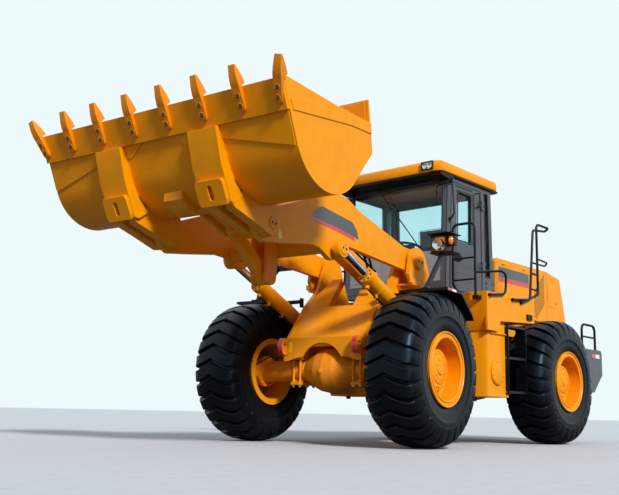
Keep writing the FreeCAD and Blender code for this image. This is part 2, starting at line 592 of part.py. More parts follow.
# Side decks over the tanks, with the tank skirts below
deckFront = 160.0
deckInner = 860.0
deckSkirt = box(deckFront - 60.0, deckFront, deckInner, deckHalf, 1330.0, deckTop - 30.0)
deckPlate = box(-1400.0, deckFront, deckInner, deckHalf, deckTop - 30.0, deckTop)
deckStrip = box(-1400.0, 90.0, frameHalf + 50.0, deckInner, deckTop - 30.0, deckTop - seatGap)
deckRear = box(-1400.0, -1360.0, frameHalf + 50.0, deckHalf, 1560.0, deckTop - 30.0)
save("side_decks", bothSides(fuse([deckPlate, deckSkirt, deckStrip, deckRear])))
tankOuter = deckHalf - tankInset
tankRear = -axleX + tyreRadius + 50.0
tank = plateZ([(tankRear, frameHalf + 50.0), (-200.0, frameHalf + 50.0), (tankFront, 760.0), (tankFront, tankOuter),
               (tankRear, tankOuter)],
              560.0, deckTop - 30.0 - seatGap)
save("side_tanks", bothSides(tank))

# Cab: floor, posts, roof frame and lower panels as one shell; the door is apart
cabFloorTop = deckTop + 40.0


def cabSideX(z, low, high):
    share = (z - deckTop) / (cabRoofBottom - deckTop)
    return low + (high - low) * share


post = 70.0
floorPlate = box(cabRear, cabFront, -cabHalf, cabHalf, deckTop, cabFloorTop)


def postPlate(xLow, xHigh, width, y0, y1):
    return plateY([(xLow, cabFloorTop), (xLow + width, cabFloorTop), (xHigh + width, cabRoofBottom), (xHigh, cabRoofBottom)], y0, y1)


doorRear = -560.0
leftPosts = [postPlate(cabFront - post, cabFrontTop - post, post, cabHalf - post, cabHalf),
             postPlate(doorRear - post, doorRear - post + 20.0, post, cabHalf - post, cabHalf),
             postPlate(cabRear, cabRearTop, post, cabHalf - post, cabHalf)]
rearQuarter = plateY([(cabRear, cabFloorTop), (doorRear, cabFloorTop), (doorRear, 2080.0), (cabRear, 2080.0)], cabHalf - post, cabHalf)
roofRail = box(cabRearTop, cabFrontTop, cabHalf - post, cabHalf, cabRoofBottom - 70.0, cabRoofBottom)
frontRail = box(cabFrontTop - post, cabFrontTop, -cabHalf + post, cabHalf - post, cabRoofBottom - 70.0, cabRoofBottom)
rearRail = box(cabRearTop, cabRearTop + post, -cabHalf + post, cabHalf - post, cabRoofBottom - 70.0, cabRoofBottom)
frontSill = box(cabFront - post, cabFront, -cabHalf + post, cabHalf - post, cabFloorTop, cabFloorTop + 110.0)
rearWallLow = box(cabRear, cabRear + post, -cabHalf + post, cabHalf - post, cabFloorTop, 2300.0)
rightSill = box(doorRear, cabFront - post, -cabHalf, -cabHalf + post, cabFloorTop, 2080.0)
hingeAxis = (doorRear + 21.0, cabHalf + 19.0)
hingeHeights = (2150.0, 2950.0)
hingeLong = 120.0
hingeKnuckle = 17.0
hingePinRadius = 8.0
cabHinges = []
doorHinges = []
for z in hingeHeights:
    third = hingeLong / 3.0
    cabHinges.append(box(doorRear - post + 10.0, hingeAxis[0], cabHalf, cabHalf + 10.0, z, z + third))
    cabHinges.append(box(doorRear - post + 10.0, hingeAxis[0], cabHalf, cabHalf + 10.0, z + 2.0 * third, z + hingeLong))
    for low in (z, z + 2.0 * third):
        cabHinges.append(Part.makeCylinder(hingeKnuckle, third, V(hingeAxis[0], hingeAxis[1], low)))
    cabHinges.append(Part.makeCylinder(hingePinRadius, hingeLong, V(hingeAxis[0], hingeAxis[1], z)))
    knuckle = Part.makeCylinder(hingeKnuckle, third - 2.0 * seatGap, V(hingeAxis[0], hingeAxis[1], z + third + seatGap))
    leaf = box(hingeAxis[0], hingeAxis[0] + 80.0, cabHalf, cabHalf + 10.0, z + third + seatGap, z + 2.0 * third - seatGap)
    bore = Part.makeCylinder(hingePinRadius + runFit, hingeLong, V(hingeAxis[0], hingeAxis[1], z))
    doorHinges.append(fuse([knuckle, leaf]).cut(bore))
cabShell = fuse([floorPlate] + cabHinges + leftPosts + [mirrored(p) for p in leftPosts]
                + [rearQuarter, mirrored(rearQuarter), roofRail, mirrored(roofRail), frontRail, rearRail, frontSill, rearWallLow,
                   rightSill])
save("cab_shell", cabShell)
roof = plateY([(cabRearTop - 150.0, cabRoofBottom), (464.0, cabRoofBottom), (464.0, roofTop - 50.0), (400.0, roofTop),
               (cabRearTop - 100.0, roofTop - 30.0), (cabRearTop - 150.0, roofTop - 80.0)], -cabHalf - 40.0, cabHalf + 40.0)
save("cab_roof", roof)
pane = 8.0
frontPane = plateY([(cabFront - 40.0, cabFloorTop + 110.0), (cabFront - 40.0 + pane, cabFloorTop + 110.0),
                    (cabFrontTop - 40.0 + pane, cabRoofBottom - 70.0), (cabFrontTop - 40.0, cabRoofBottom - 70.0)],
                   -cabHalf + post, cabHalf - post)
rearPane = plateY([(cabRear + 30.0, 2300.0), (cabRear + 30.0 + pane, 2300.0), (cabRearTop + 30.0 + pane, cabRoofBottom - 70.0),
                   (cabRearTop + 30.0, cabRoofBottom - 70.0)], -cabHalf + post, cabHalf - post)
quarterPane = plateY([(cabRear + 85.0, 2080.0), (doorRear - post, 2080.0), (doorRear - post + 12.0, cabRoofBottom - 70.0),
                      (cabRearTop + post + 2.0, cabRoofBottom - 70.0)], cabHalf - 40.0, cabHalf - 40.0 + pane)
rightPane = plateY([(doorRear + 5.0, 2080.0), (cabFront - post - 14.0, 2080.0), (cabFrontTop - post, cabRoofBottom - 70.0),
                    (doorRear + 22.0, cabRoofBottom - 70.0)], -cabHalf + 32.0, -cabHalf + 40.0)
save("cab_glass", group([frontPane, rearPane, quarterPane, mirrored(quarterPane), rightPane]))

# Door on the left, hinged at its rear edge
doorGap = 6.0
doorFront = cabFront - post - doorGap
doorFrontTop = cabFrontTop - post - doorGap
doorBack = doorRear + 24.0
doorBottom = cabFloorTop + doorGap
doorTopZ = cabRoofBottom - 70.0 - doorGap
doorOut = plateY([(doorBack, doorBottom), (doorFront, doorBottom), (doorFrontTop, doorTopZ), (doorBack + 20.0, doorTopZ)],
                 cabHalf - doorThick, cabHalf)
doorWindow = plateY([(doorBack + 60.0, 2150.0), (doorFront - 76.0, 2150.0), (doorFrontTop - 64.0, doorTopZ - 60.0),
                     (doorBack + 80.0, doorTopZ - 60.0)], cabHalf - doorThick - 1.0, cabHalf + 1.0)
save("door_frame", fuse([doorOut.cut(doorWindow)] + doorHinges))
doorPane = plateY([(doorBack + 60.0 + seatGap, 2150.0 + seatGap), (doorFront - 76.0 - seatGap, 2150.0 + seatGap),
                   (doorFrontTop - 64.0 - seatGap, doorTopZ - 60.0 - seatGap), (doorBack + 80.0 + seatGap, doorTopZ - 60.0 - seatGap)],
                  cabHalf - 34.0, cabHalf - 34.0 + pane)
save("door_glass", doorPane)

# Seat and steering column
save("seat_base", box(-560.0, -160.0, -220.0, 220.0, cabFloorTop, 2180.0))
save("seat_cushion", fuse([box(-600.0, -110.0, -250.0, 250.0, 2180.0 + seatGap, 2300.0), box(-680.0, -600.0, -240.0, 240.0, 2180.0 + seatGap, 2820.0)]))
columnTop = V(-10.0, 0.0, 2440.0)
columnAxis = (columnTop - V(140.0, 0.0, cabFloorTop)).normalize()
columnTilt = math.degrees(math.atan2(150.0, 2440.0 - cabFloorTop))
column = rod(45.0, (140.0, 0.0, cabFloorTop), (-10.0, 0.0, 2440.0))
columnFoot = box(60.0, 200.0, -90.0, 90.0, cabFloorTop, cabFloorTop + 120.0)
save("steering_column", fuse([column.common(box(-200.0, 400.0, -200.0, 200.0, cabFloorTop, 2600.0)), columnFoot]))
ringSection = []
for i in range(6):
    ringSection.append(V(190.0 + 16.0 * math.cos(math.radians(60.0 * i)), 0.0, 16.0 * math.sin(math.radians(60.0 * i))))
ringSection.append(ringSection[0])
wheelRing = Part.Face(Part.makePolygon(ringSection)).revolve(V(0, 0, 0), V(0, 0, 1), 360.0)
wheelHub = Part.makeCylinder(45.0, 20.0, V(0, 0, -10.0))
spokes = [box(-190.0, 190.0, -14.0, 14.0, -8.0, 8.0), box(-14.0, 14.0, -190.0, 0.0, -8.0, 8.0)]
steeringWheel = fuse([wheelRing, wheelHub] + spokes)
steeringWheel.rotate(V(0, 0, 0), V(0, 1, 0), -columnTilt)
steeringWheel.translate(columnTop + columnAxis * (10.0 + seatGap))
save("steering_wheel", steeringWheel)

# Engine hood with side louvres, grille and counterweight
hoodFoot = 1420.0
hoodWall = 40.0
hoodOutline = [(hoodFront, deckTop), (hoodFront, hoodTop - 40.0), (hoodFront - 60.0, hoodTop), (hoodRear + 444.0, hoodTop),
               (hoodRear, hoodTop - 69.0), (hoodSkirtRear, 1743.0), (hoodSkirtRear, hoodFoot), (hoodFront - 130.0, hoodFoot),
               (hoodFront - 130.0, deckTop)]
hoodSolid = plateY(hoodOutline, -hoodHalf, hoodHalf)
hoodCavity = plateY([(hoodFront - 130.0 - hoodWall, hoodFoot - hoodWall), (hoodFront - 130.0 - hoodWall, hoodTop - 60.0),
                     (hoodRear + 454.0, hoodTop - 60.0), (hoodRear + 50.0, hoodTop - 125.0),
                     (hoodSkirtRear - 190.0, hoodTop - 165.0), (hoodSkirtRear - 190.0, hoodFoot - hoodWall)],
                    -hoodHalf + hoodWall, hoodHalf - hoodWall)
save("hood", hoodSolid.cut(hoodCavity))
grilleRear = hoodSkirtRear + 16.0
grille = plateY([(hoodRear + 20.0, hoodTop - 175.0), (hoodRear - 6.0, hoodTop - 175.0), (grilleRear, 1743.0), (grilleRear, hoodFoot + 20.0),
                 (grilleRear + hoodWall, hoodFoot + 20.0), (grilleRear + hoodWall, 1743.0)],
                -hoodHalf + hoodWall + seatGap, hoodHalf - hoodWall - seatGap)
save("grille", grille)
counterTop = 1400.0
counter = plateY([(frameRear - seatGap, 720.0), (frameRear - seatGap, counterTop), (tailX + 30.0, counterTop),
                  (tailX, counterTop - 60.0), (tailX, 900.0),
                  (tailX + 120.0, 720.0)], -1180.0, 1180.0)
wing = box(frameRear - 30.0, frameRear + 550.0, frameHalf + seatGap, 1180.0, 900.0, counterTop)
hitchBore = 25.0
hitchX = tailX + 5.0
hitchPocket = 80.0
hitchPlate = 25.0
hitchEar = 40.0
hitchBack = tailX + hitchPocket
pocket = box(tailX - 10.0, hitchBack, -100.0, 100.0, 860.0, 1500.0)
save("counterweight", fuse([counter.cut(pocket), wing, mirrored(wing)]))
hitch = [box(hitchBack - hitchPlate - seatGap, hitchBack - seatGap, -95.0, 95.0, 890.0, 1090.0)]
for z in (900.0, 1040.0):
    ear = box(hitchX, hitchBack - hitchPlate, -60.0, 60.0, z, z + hitchEar)
    ear = ear.fuse(Part.makeCylinder(60.0, hitchEar, V(hitchX, 0.0, z)))
    hitch.append(ear.cut(Part.makeCylinder(hitchBore, hitchEar, V(hitchX, 0.0, z))))
save("tow_hitch", fuse(hitch))

# Rear fenders over the rear wheels
rearFender = plateY([(-1404.0, deckTop - 80.0), (-1404.0, deckTop - 30.0), (-2300.0, 1700.0), (-2700.0, 1420.0), (-2680.0, 1390.0),
                     (-2290.0, 1660.0)], hoodHalf + seatGap, deckHalf)
save("rear_fenders", bothSides(rearFender))

# Ladders below the decks and the handrails above them
ladder = []
for i, z in enumerate((620.0, 940.0, 1260.0)):
    ladder.append(box(tankRear + 20.0, -120.0, deckHalf - 150.0, deckHalf + 60.0, z, z + 30.0))
for x in (tankRear, -120.0):
    ladder.append(box(x, x + 20.0, deckHalf - 150.0, deckHalf + 60.0, 600.0, deckTop - 30.0 - seatGap))
save("ladders", bothSides(fuse(ladder)))


def rail(points, radius):
    pieces = []
    for a, b in zip(points[:-1], points[1:]):
        pieces.append(rod(radius, a, b))
    for p in points[1:-1]:
        pieces.append(Part.makeSphere(radius, V(*p)))
    return fuse(pieces)


railY = deckHalf - 50.0
tallRail = rail([(-1040.0, railY, deckTop), (-1040.0, railY, 2780.0), (-1290.0, railY, 2780.0), (-1290.0, railY, deckTop)], 18.0)
save("handrails", bothSides(tallRail))
save("headlights_roof", bothSides(box(464.0 + seatGap, 520.0, 420.0, 600.0, 3275.0, 3375.0)))
rearRailX = tailX + 80.0
rearRailHalf = 900.0
rearRailTop = counterTop + 220.0
save("rear_rail", rail([(rearRailX, -rearRailHalf, counterTop), (rearRailX, -rearRailHalf, rearRailTop),
                        (rearRailX, rearRailHalf, rearRailTop), (rearRailX, rearRailHalf, counterTop)], 20.0))

# Steering cylinders between the two halves
def steerPair(side):
    ca = math.cos(math.radians(restSteer))
    sa = math.sin(math.radians(restSteer))
    foot = V(steerFoot[0], side * steerFoot[1], steerZ)
    head = V(steerHead[0] * ca - side * steerHead[1] * sa, steerHead[0] * sa + side * steerHead[1] * ca, steerZ)
    along3 = (head - foot)
    length = along3.Length
    unit = along3.normalize()

    def at(d):
        return foot + unit * d

    barrelEnd = 620.0
    glandLong = 45.0
    boreStart = 85.0
    rodReach = 709.0
    barrel = Part.makeCylinder(steerBarrelRadius, barrelEnd - 60.0, at(60.0), unit)
    barrel = barrel.cut(Part.makeCylinder(steerBarrelRadius - 10.0, barrelEnd - glandLong - boreStart, at(boreStart), unit))
    barrel = barrel.cut(Part.makeCylinder(steerRodRadius + runFit, glandLong, at(barrelEnd - glandLong), unit))
    eye = Part.makeCylinder(50.0, 2.0 * steerEyeHalf, foot - V(0, 0, steerEyeHalf))
    barrel = barrel.fuse(Part.makeCylinder(28.0, 70.0, foot, unit)).fuse(eye)
    barrel = barrel.cut(Part.makeCylinder(25.0 + runFit, 200.0, foot - V(0, 0, 100.0)))
    shaft = Part.makeCylinder(steerRodRadius, rodReach - 40.0, at(length - rodReach), unit)
    piston = Part.makeCylinder(steerBarrelRadius - 10.0 - runFit, 40.0, at(length - rodReach), unit)
    rodEye = Part.makeCylinder(48.0, 2.0 * steerRodEyeHalf, head - V(0, 0, steerRodEyeHalf))
    return barrel, fuse([shaft, piston, rodEye])


for label, side in (("left", 1), ("right", -1)):
    barrel, piston = steerPair(side)
    save("steer_barrel_" + label, barrel)
    save("steer_rod_" + label, piston)

os.makedirs("parts", exist_ok=True)
for name, shape in nodes.items():
    shape.exportStep("parts/" + name + ".step")
    print(name, len(shape.Solids), round(shape.Volume / 1e9, 4), shape.isValid())
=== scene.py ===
import json
import math
import random
import bpy
import bmesh
from mathutils import Matrix, Vector


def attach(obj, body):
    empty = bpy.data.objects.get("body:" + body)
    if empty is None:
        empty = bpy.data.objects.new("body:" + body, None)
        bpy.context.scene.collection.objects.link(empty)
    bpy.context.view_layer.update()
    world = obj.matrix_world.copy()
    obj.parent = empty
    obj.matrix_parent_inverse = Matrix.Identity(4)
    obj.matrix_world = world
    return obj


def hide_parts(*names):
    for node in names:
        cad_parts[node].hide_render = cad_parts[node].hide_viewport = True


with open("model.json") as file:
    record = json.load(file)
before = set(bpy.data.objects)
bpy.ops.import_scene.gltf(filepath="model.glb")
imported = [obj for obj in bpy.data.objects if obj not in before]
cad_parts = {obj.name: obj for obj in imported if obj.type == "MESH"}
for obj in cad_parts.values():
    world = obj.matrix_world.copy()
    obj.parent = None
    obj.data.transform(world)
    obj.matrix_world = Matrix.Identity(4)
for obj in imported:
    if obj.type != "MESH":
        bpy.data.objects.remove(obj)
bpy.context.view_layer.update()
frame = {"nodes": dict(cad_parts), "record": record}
nodes = frame["nodes"]
print("frame loaded:", len(nodes), "nodes")

# The front half stands turned about the centre hinge. Metres, angles in degrees.
restSteer = 5.18
frontTurn = Matrix.Rotation(math.radians(restSteer), 4, "Z")
straight = Matrix.Identity(4)
sides = ((1, "left"), (-1, "right"))
# Trim lies a hair outside these faces, measured from the middle of the machine
hoodSide, cabSide, deckSide, boomSide = 0.5602, 0.7802, 1.2503, 0.6322


# What rides on the rear half is made in place, and all else turns with the front half
rearBodies = ("rear_frame", "door", "wheel_rear_left", "wheel_rear_right")


def finishMesh(bm, name, body, material, bevel=0.0, sharp=35.0):
    bmesh.ops.remove_doubles(bm, verts=bm.verts, dist=0.00005)
    bmesh.ops.recalc_face_normals(bm, faces=bm.faces)
    mesh = bpy.data.meshes.new(name)
    bm.to_mesh(mesh)
    bm.free()
    return placeMesh(mesh, name, body, material, bevel, sharp)


def placeMesh(mesh, name, body, material, bevel=0.0, sharp=35.0):
    mesh.transform(straight if body in rearBodies else frontTurn)
    for polygon in mesh.polygons:
        polygon.use_smooth = True
    mesh.set_sharp_from_angle(angle=math.radians(sharp))
    obj = bpy.data.objects.new(name, mesh)
    bpy.context.scene.collection.objects.link(obj)
    mesh.materials.clear()
    mesh.materials.append(material)
    if bevel > 0.0:
        edge = obj.modifiers.new("edge", "BEVEL")
        edge.width = bevel
        edge.segments = 2
        edge.limit_method = "ANGLE"
        edge.angle_limit = math.radians(40.0)
        edge.harden_normals = True
    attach(obj, body)
    return obj


def addBox(bm, low, high):
    corners = []
    for x in (low[0], high[0]):
        for y in (low[1], high[1]):
            for z in (low[2], high[2]):
                corners.append(bm.verts.new((x, y, z)))
    for a, b, c, d in ((0, 1, 3, 2), (4, 6, 7, 5), (0, 4, 5, 1), (2, 3, 7, 6), (0, 2, 6, 4), (1, 5, 7, 3)):
        bm.faces.new((corners[a], corners[b], corners[c], corners[d]))


# A closed outline pushed through a thickness: points are (a, b), toPoint gives the place for (a, b, depth)
def addPlate(bm, points, depthA, depthB, toPoint):
    near = [bm.verts.new(toPoint(a, b, depthA)) for a, b in points]
    far = [bm.verts.new(toPoint(a, b, depthB)) for a, b in points]
    bm.faces.new(near)
    bm.faces.new(list(reversed(far)))
    for i in range(len(points)):
        k = (i + 1) % len(points)
        bm.faces.new((near[i], far[i], far[k], near[k]))


def sideView(a, b, depth):
    return Vector((a, depth, b))


# A profile of (radius, along) turned round an axis through at
def addTurned(bm, profile, at, axis, steps=48, closed=False):
    axis = Vector(axis).normalized()
    side = axis.orthogonal().normalized()
    other = axis.cross(side)
    rings = []
    for radius, along in profile:
        ring = []
        if radius < 1e-6:
            ring = [bm.verts.new(Vector(at) + axis * along)] * steps
        else:
            for i in range(steps):
                a = 2.0 * math.pi * i / steps
                place = Vector(at) + axis * along + (side * math.cos(a) + other * math.sin(a)) * radius
                ring.append(bm.verts.new(place))
        rings.append(ring)
    count = len(rings) if closed else len(rings) - 1
    for j in range(count):
        low, high = rings[j], rings[(j + 1) % len(rings)]
        for i in range(steps):
            k = (i + 1) % steps
            corners = []
            for v in (low[i], low[k], high[k], high[i]):
                if v not in corners:
                    corners.append(v)
            if len(corners) > 2:
                bm.faces.new(corners)


# A tube along points with round corners of the given bend radius
def roundPath(points, bend, steps=6):
    points = [Vector(p) for p in points]
    path = [points[0]]
    for a, b, c in zip(points, points[1:], points[2:]):
        back = (a - b).normalized()
        ahead = (c - b).normalized()
        corner = back.angle(ahead)
        if corner > math.pi - 0.02:
            path.append(b)
            continue
        cut = min(bend / math.tan(corner / 2.0), (a - b).length * 0.49, (c - b).length * 0.49)
        radius = cut * math.tan(corner / 2.0)
        middle = b + (back + ahead).normalized() * (radius / math.sin(corner / 2.0))
        start = b + back * cut - middle
        end = b + ahead * cut - middle
        swing = start.rotation_difference(end)
        for i in range(steps + 1):
            turn = swing.copy()
            turn.angle = swing.angle * i / steps
            path.append(middle + turn @ start)
    path.append(points[-1])
    return path


def addTube(bm, path, radius, sides=12, caps=True):
    path = [Vector(p) for p in path]
    rings = []
    normal = None
    for i, p in enumerate(path):
        ahead = (path[min(i + 1, len(path) - 1)] - path[max(i - 1, 0)]).normalized()
        normal = ahead.orthogonal() if normal is None else normal - ahead * normal.dot(ahead)
        normal.normalize()
        across = ahead.cross(normal)
        ring = []
        for k in range(sides):
            a = 2.0 * math.pi * k / sides
            ring.append(bm.verts.new(p + (normal * math.cos(a) + across * math.sin(a)) * radius))
        rings.append(ring)
    for low, high in zip(rings, rings[1:]):
        for k in range(sides):
            m = (k + 1) % sides
            bm.faces.new((low[k], low[m], high[m], high[k]))
    if caps:
        bm.faces.new(list(reversed(rings[0])))
        bm.faces.new(rings[-1])


# Node trees are written as short lists: add makes a node, sets its values and joins its inputs
class Wiring:
    def __init__(self, tree):
        self.tree = tree
        self.count = 0

    def add(self, kind, inputs=None, **values):
        node = self.tree.nodes.new(kind)
        node.location = (200.0 * self.count, 0.0)
        self.count += 1
        for key, value in values.items():
            setattr(node, key, value)
        for key, value in (inputs or {}).items():
            if isinstance(value, bpy.types.NodeSocket):
                self.link(value, node.inputs[key])
            else:
                node.inputs[key].default_value = value
        return node

    def link(self, output, target):
        self.tree.links.new(output, target)


def newTree(name, kind, inputs, outputs):
    tree = bpy.data.node_groups.new(name, kind)
    for label, socket, value in inputs:
        made = tree.interface.new_socket(label, in_out="INPUT", socket_type=socket)
        if value is not None:
            made.default_value = value
    for label, socket in outputs:
        tree.interface.new_socket(label, in_out="OUTPUT", socket_type=socket)
    wires = Wiring(tree)
    return tree, wires, wires.add("NodeGroupInput"), wires.add("NodeGroupOutput")


# Bolts on the points of a mesh, each turned to the point's own facing
def makeBoltTree():
    tree, w, start, end = newTree("boltsOnPoints", "GeometryNodeTree", [
        ("Geometry", "NodeSocketGeometry", None),
        ("Head radius", "NodeSocketFloat", 0.015),
        ("Head height", "NodeSocketFloat", 0.01),
        ("Washer radius", "NodeSocketFloat", 0.02),
        ("Washer height", "NodeSocketFloat", 0.004),
        ("Finish", "NodeSocketMaterial", None),
    ], [("Geometry", "NodeSocketGeometry")])
    head = w.add("GeometryNodeMeshCylinder", {"Vertices": 6})
    washer = w.add("GeometryNodeMeshCylinder", {"Vertices": 16})
    w.link(start.outputs["Head radius"], head.inputs["Radius"])
    w.link(start.outputs["Head height"], head.inputs["Depth"])
    w.link(start.outputs["Washer radius"], washer.inputs["Radius"])
    w.link(start.outputs["Washer height"], washer.inputs["Depth"])
    half = w.add("ShaderNodeMath", {1: 0.5, 0: start.outputs["Head height"]}, operation="MULTIPLY")
    lift = w.add("ShaderNodeMath", {0: half.outputs[0], 1: start.outputs["Washer height"]}, operation="ADD")
    place = w.add("ShaderNodeCombineXYZ", {"Z": lift.outputs[0]})
    moveHead = w.add("GeometryNodeTransform", {"Geometry": head.outputs["Mesh"],
                                               "Translation": place.outputs[0]})
    washerHalf = w.add("ShaderNodeMath", {1: 0.5, 0: start.outputs["Washer height"]}, operation="MULTIPLY")
    washerPlace = w.add("ShaderNodeCombineXYZ", {"Z": washerHalf.outputs[0]})
    moveWasher = w.add("GeometryNodeTransform", {"Geometry": washer.outputs["Mesh"],
                                                 "Translation": washerPlace.outputs[0]})
    join = w.add("GeometryNodeJoinGeometry", {0: moveHead.outputs[0]})
    w.link(moveWasher.outputs[0], join.inputs[0])
    facing = w.add("GeometryNodeInputNamedAttribute", {"Name": "facing"}, data_type="FLOAT_VECTOR")
    align = w.add("FunctionNodeAlignRotationToVector", {"Vector": facing.outputs["Attribute"]}, axis="Z")
    toPoints = w.add("GeometryNodeMeshToPoints", {"Mesh": start.outputs["Geometry"]})
    copies = w.add("GeometryNodeInstanceOnPoints", {"Points": toPoints.outputs[0],
                                                    "Instance": join.outputs[0],
                                                    "Rotation": align.outputs[0]})
    real = w.add("GeometryNodeRealizeInstances", {0: copies.outputs[0]})
    paint = w.add("GeometryNodeSetMaterial", {"Geometry": real.outputs[0],
                                              "Material": start.outputs["Finish"]})
    w.link(paint.outputs[0], end.inputs["Geometry"])
    return tree


# One shape repeated round the Y axis
def makeRingTree():
    tree, w, start, end = newTree("repeatRoundAxle", "GeometryNodeTree", [
        ("Geometry", "NodeSocketGeometry", None),
        ("Count", "NodeSocketInt", 28),
        ("Finish", "NodeSocketMaterial", None),
    ], [("Geometry", "NodeSocketGeometry")])
    line = w.add("GeometryNodeMeshLine", {"Offset": (0.0, 0.0, 0.0), "Count": start.outputs["Count"]})
    index = w.add("GeometryNodeInputIndex")
    share = w.add("ShaderNodeMath", {0: index.outputs[0], 1: start.outputs["Count"]}, operation="DIVIDE")
    full = w.add("ShaderNodeMath", {1: 2.0 * math.pi, 0: share.outputs[0]}, operation="MULTIPLY")
    spin = w.add("ShaderNodeCombineXYZ", {"Y": full.outputs[0]})
    copies = w.add("GeometryNodeInstanceOnPoints", {"Points": line.outputs[0],
                                                    "Instance": start.outputs["Geometry"],
                                                    "Rotation": spin.outputs[0]})
    real = w.add("GeometryNodeRealizeInstances", {0: copies.outputs[0]})
    paint = w.add("GeometryNodeSetMaterial", {"Geometry": real.outputs[0],
                                              "Material": start.outputs["Finish"]})
    w.link(paint.outputs[0], end.inputs["Geometry"])
    return tree


boltTree = makeBoltTree()
ringTree = makeRingTree()


# Runs a node tree on a mesh and gives back the plain result
def grown(mesh, tree, values):
    host = bpy.data.objects.new("host", mesh)
    bpy.context.scene.collection.objects.link(host)
    modifier = host.modifiers.new("grow", "NODES")
    modifier.node_group = tree
    sockets = {item.name: item.identifier for item in tree.interface.items_tree if item.in_out == "INPUT"}
    for label, value in values.items():
        modifier[sockets[label]] = value
    view = bpy.context.evaluated_depsgraph_get()
    result = bpy.data.meshes.new_from_object(host.evaluated_get(view))
    host.modifiers.remove(modifier)
    bpy.data.objects.remove(host)
    return result


def boltPiece(name, body, places, size, material):
    mesh = bpy.data.meshes.new(name)
    mesh.from_pydata([p for p, _ in places], [], [])
    facing = mesh.attributes.new("facing", "FLOAT_VECTOR", "POINT")
    for i, (_, direction) in enumerate(places):
        facing.data[i].vector = Vector(direction).normalized()
    grownMesh = grown(mesh, boltTree, {
        "Head radius": size, "Head height": size * 0.62, "Washer radius": size * 1.4,
        "Washer height": size * 0.18, "Finish": material})
    return placeMesh(grownMesh, name, body, material)


# Lighter edges, partly wear and partly a painted edge highlight: the rounded normal leaves the flat one near
# a corner
def makeEdgeWearAndHighlightGroup():
    tree, w, start, end = newTree("edgeWearAndHighlight", "ShaderNodeTree", [
        ("Reach", "NodeSocketFloat", 0.006),
        ("Strength", "NodeSocketFloat", 3.0),
        ("Patchiness", "NodeSocketFloat", 9.0),
    ], [("Mask", "NodeSocketFloat")])
    rounded = w.add("ShaderNodeBevel", {"Radius": start.outputs["Reach"]}, samples=4)
    flat = w.add("ShaderNodeNewGeometry")
    dot = w.add("ShaderNodeVectorMath", {0: rounded.outputs[0], 1: flat.outputs["Normal"]},
                operation="DOT_PRODUCT")
    away = w.add("ShaderNodeMath", {0: 1.0, 1: dot.outputs["Value"]}, operation="SUBTRACT")
    gain = w.add("ShaderNodeMath", {0: away.outputs[0], 1: start.outputs["Strength"]}, operation="MULTIPLY")
    place = w.add("ShaderNodeTexCoord")
    patches = w.add("ShaderNodeTexNoise", {"Detail": 6.0, "Vector": place.outputs["Object"],
                                           "Scale": start.outputs["Patchiness"]})
    cut = w.add("ShaderNodeMapRange", {"From Min": 0.45, "From Max": 0.7, "Value": patches.outputs[0]})
    both = w.add("ShaderNodeMath", {0: gain.outputs[0], 1: cut.outputs[0]}, operation="MULTIPLY",
                 use_clamp=True)
    w.link(both.outputs[0], end.inputs["Mask"])
    return tree


# Dust that lies thicker towards the ground
def makeDustGroup():
    tree, w, start, end = newTree("roadDust", "ShaderNodeTree", [
        ("Height", "NodeSocketFloat", 1.2),
        ("Amount", "NodeSocketFloat", 0.5),
    ], [("Mask", "NodeSocketFloat")])
    place = w.add("ShaderNodeTexCoord")
    parts = w.add("ShaderNodeSeparateXYZ", {0: place.outputs["Object"]})
    fall = w.add("ShaderNodeMapRange", {"From Min": 0.0, "To Min": 1.0, "To Max": 0.0,
                                        "Value": parts.outputs["Z"], "From Max": start.outputs["Height"]})
    cloud = w.add("ShaderNodeTexNoise", {"Scale": 3.5, "Detail": 8.0, "Roughness": 0.65,
                                         "Vector": place.outputs["Object"]})
    cut = w.add("ShaderNodeMapRange", {"From Min": 0.38, "From Max": 0.68, "Value": cloud.outputs[0]})
    both = w.add("ShaderNodeMath", {0: fall.outputs[0], 1: cut.outputs[0]}, operation="MULTIPLY")
    amount = w.add("ShaderNodeMath", {0: both.outputs[0], 1: start.outputs["Amount"]}, operation="MULTIPLY",
                   use_clamp=True)
    w.link(amount.outputs[0], end.inputs["Mask"])
    return tree


# A fine surface height: sprayed paint, moulded grain or cast skin, by scale
def makeGrainGroup():
    tree, w, start, end = newTree("surfaceGrain", "ShaderNodeTree", [
        ("Scale", "NodeSocketFloat", 90.0),
        ("Coarse", "NodeSocketFloat", 7.0),
    ], [("Height", "NodeSocketFloat"), ("Tone", "NodeSocketFloat")])
    place = w.add("ShaderNodeTexCoord")
    fine = w.add("ShaderNodeTexNoise", {"Detail": 3.0, "Vector": place.outputs["Object"],
                                        "Scale": start.outputs["Scale"]})
    broad = w.add("ShaderNodeTexNoise", {"Detail": 4.0, "Vector": place.outputs["Object"],
                                         "Scale": start.outputs["Coarse"]})
    w.link(fine.outputs[0], end.inputs["Height"])
    w.link(broad.outputs[0], end.inputs["Tone"])
    return tree


edgeWearAndHighlightGroup = makeEdgeWearAndHighlightGroup()
dustGroup = makeDustGroup()
grainGroup = makeGrainGroup()

dustColour = (0.42, 0.36, 0.28, 1.0)
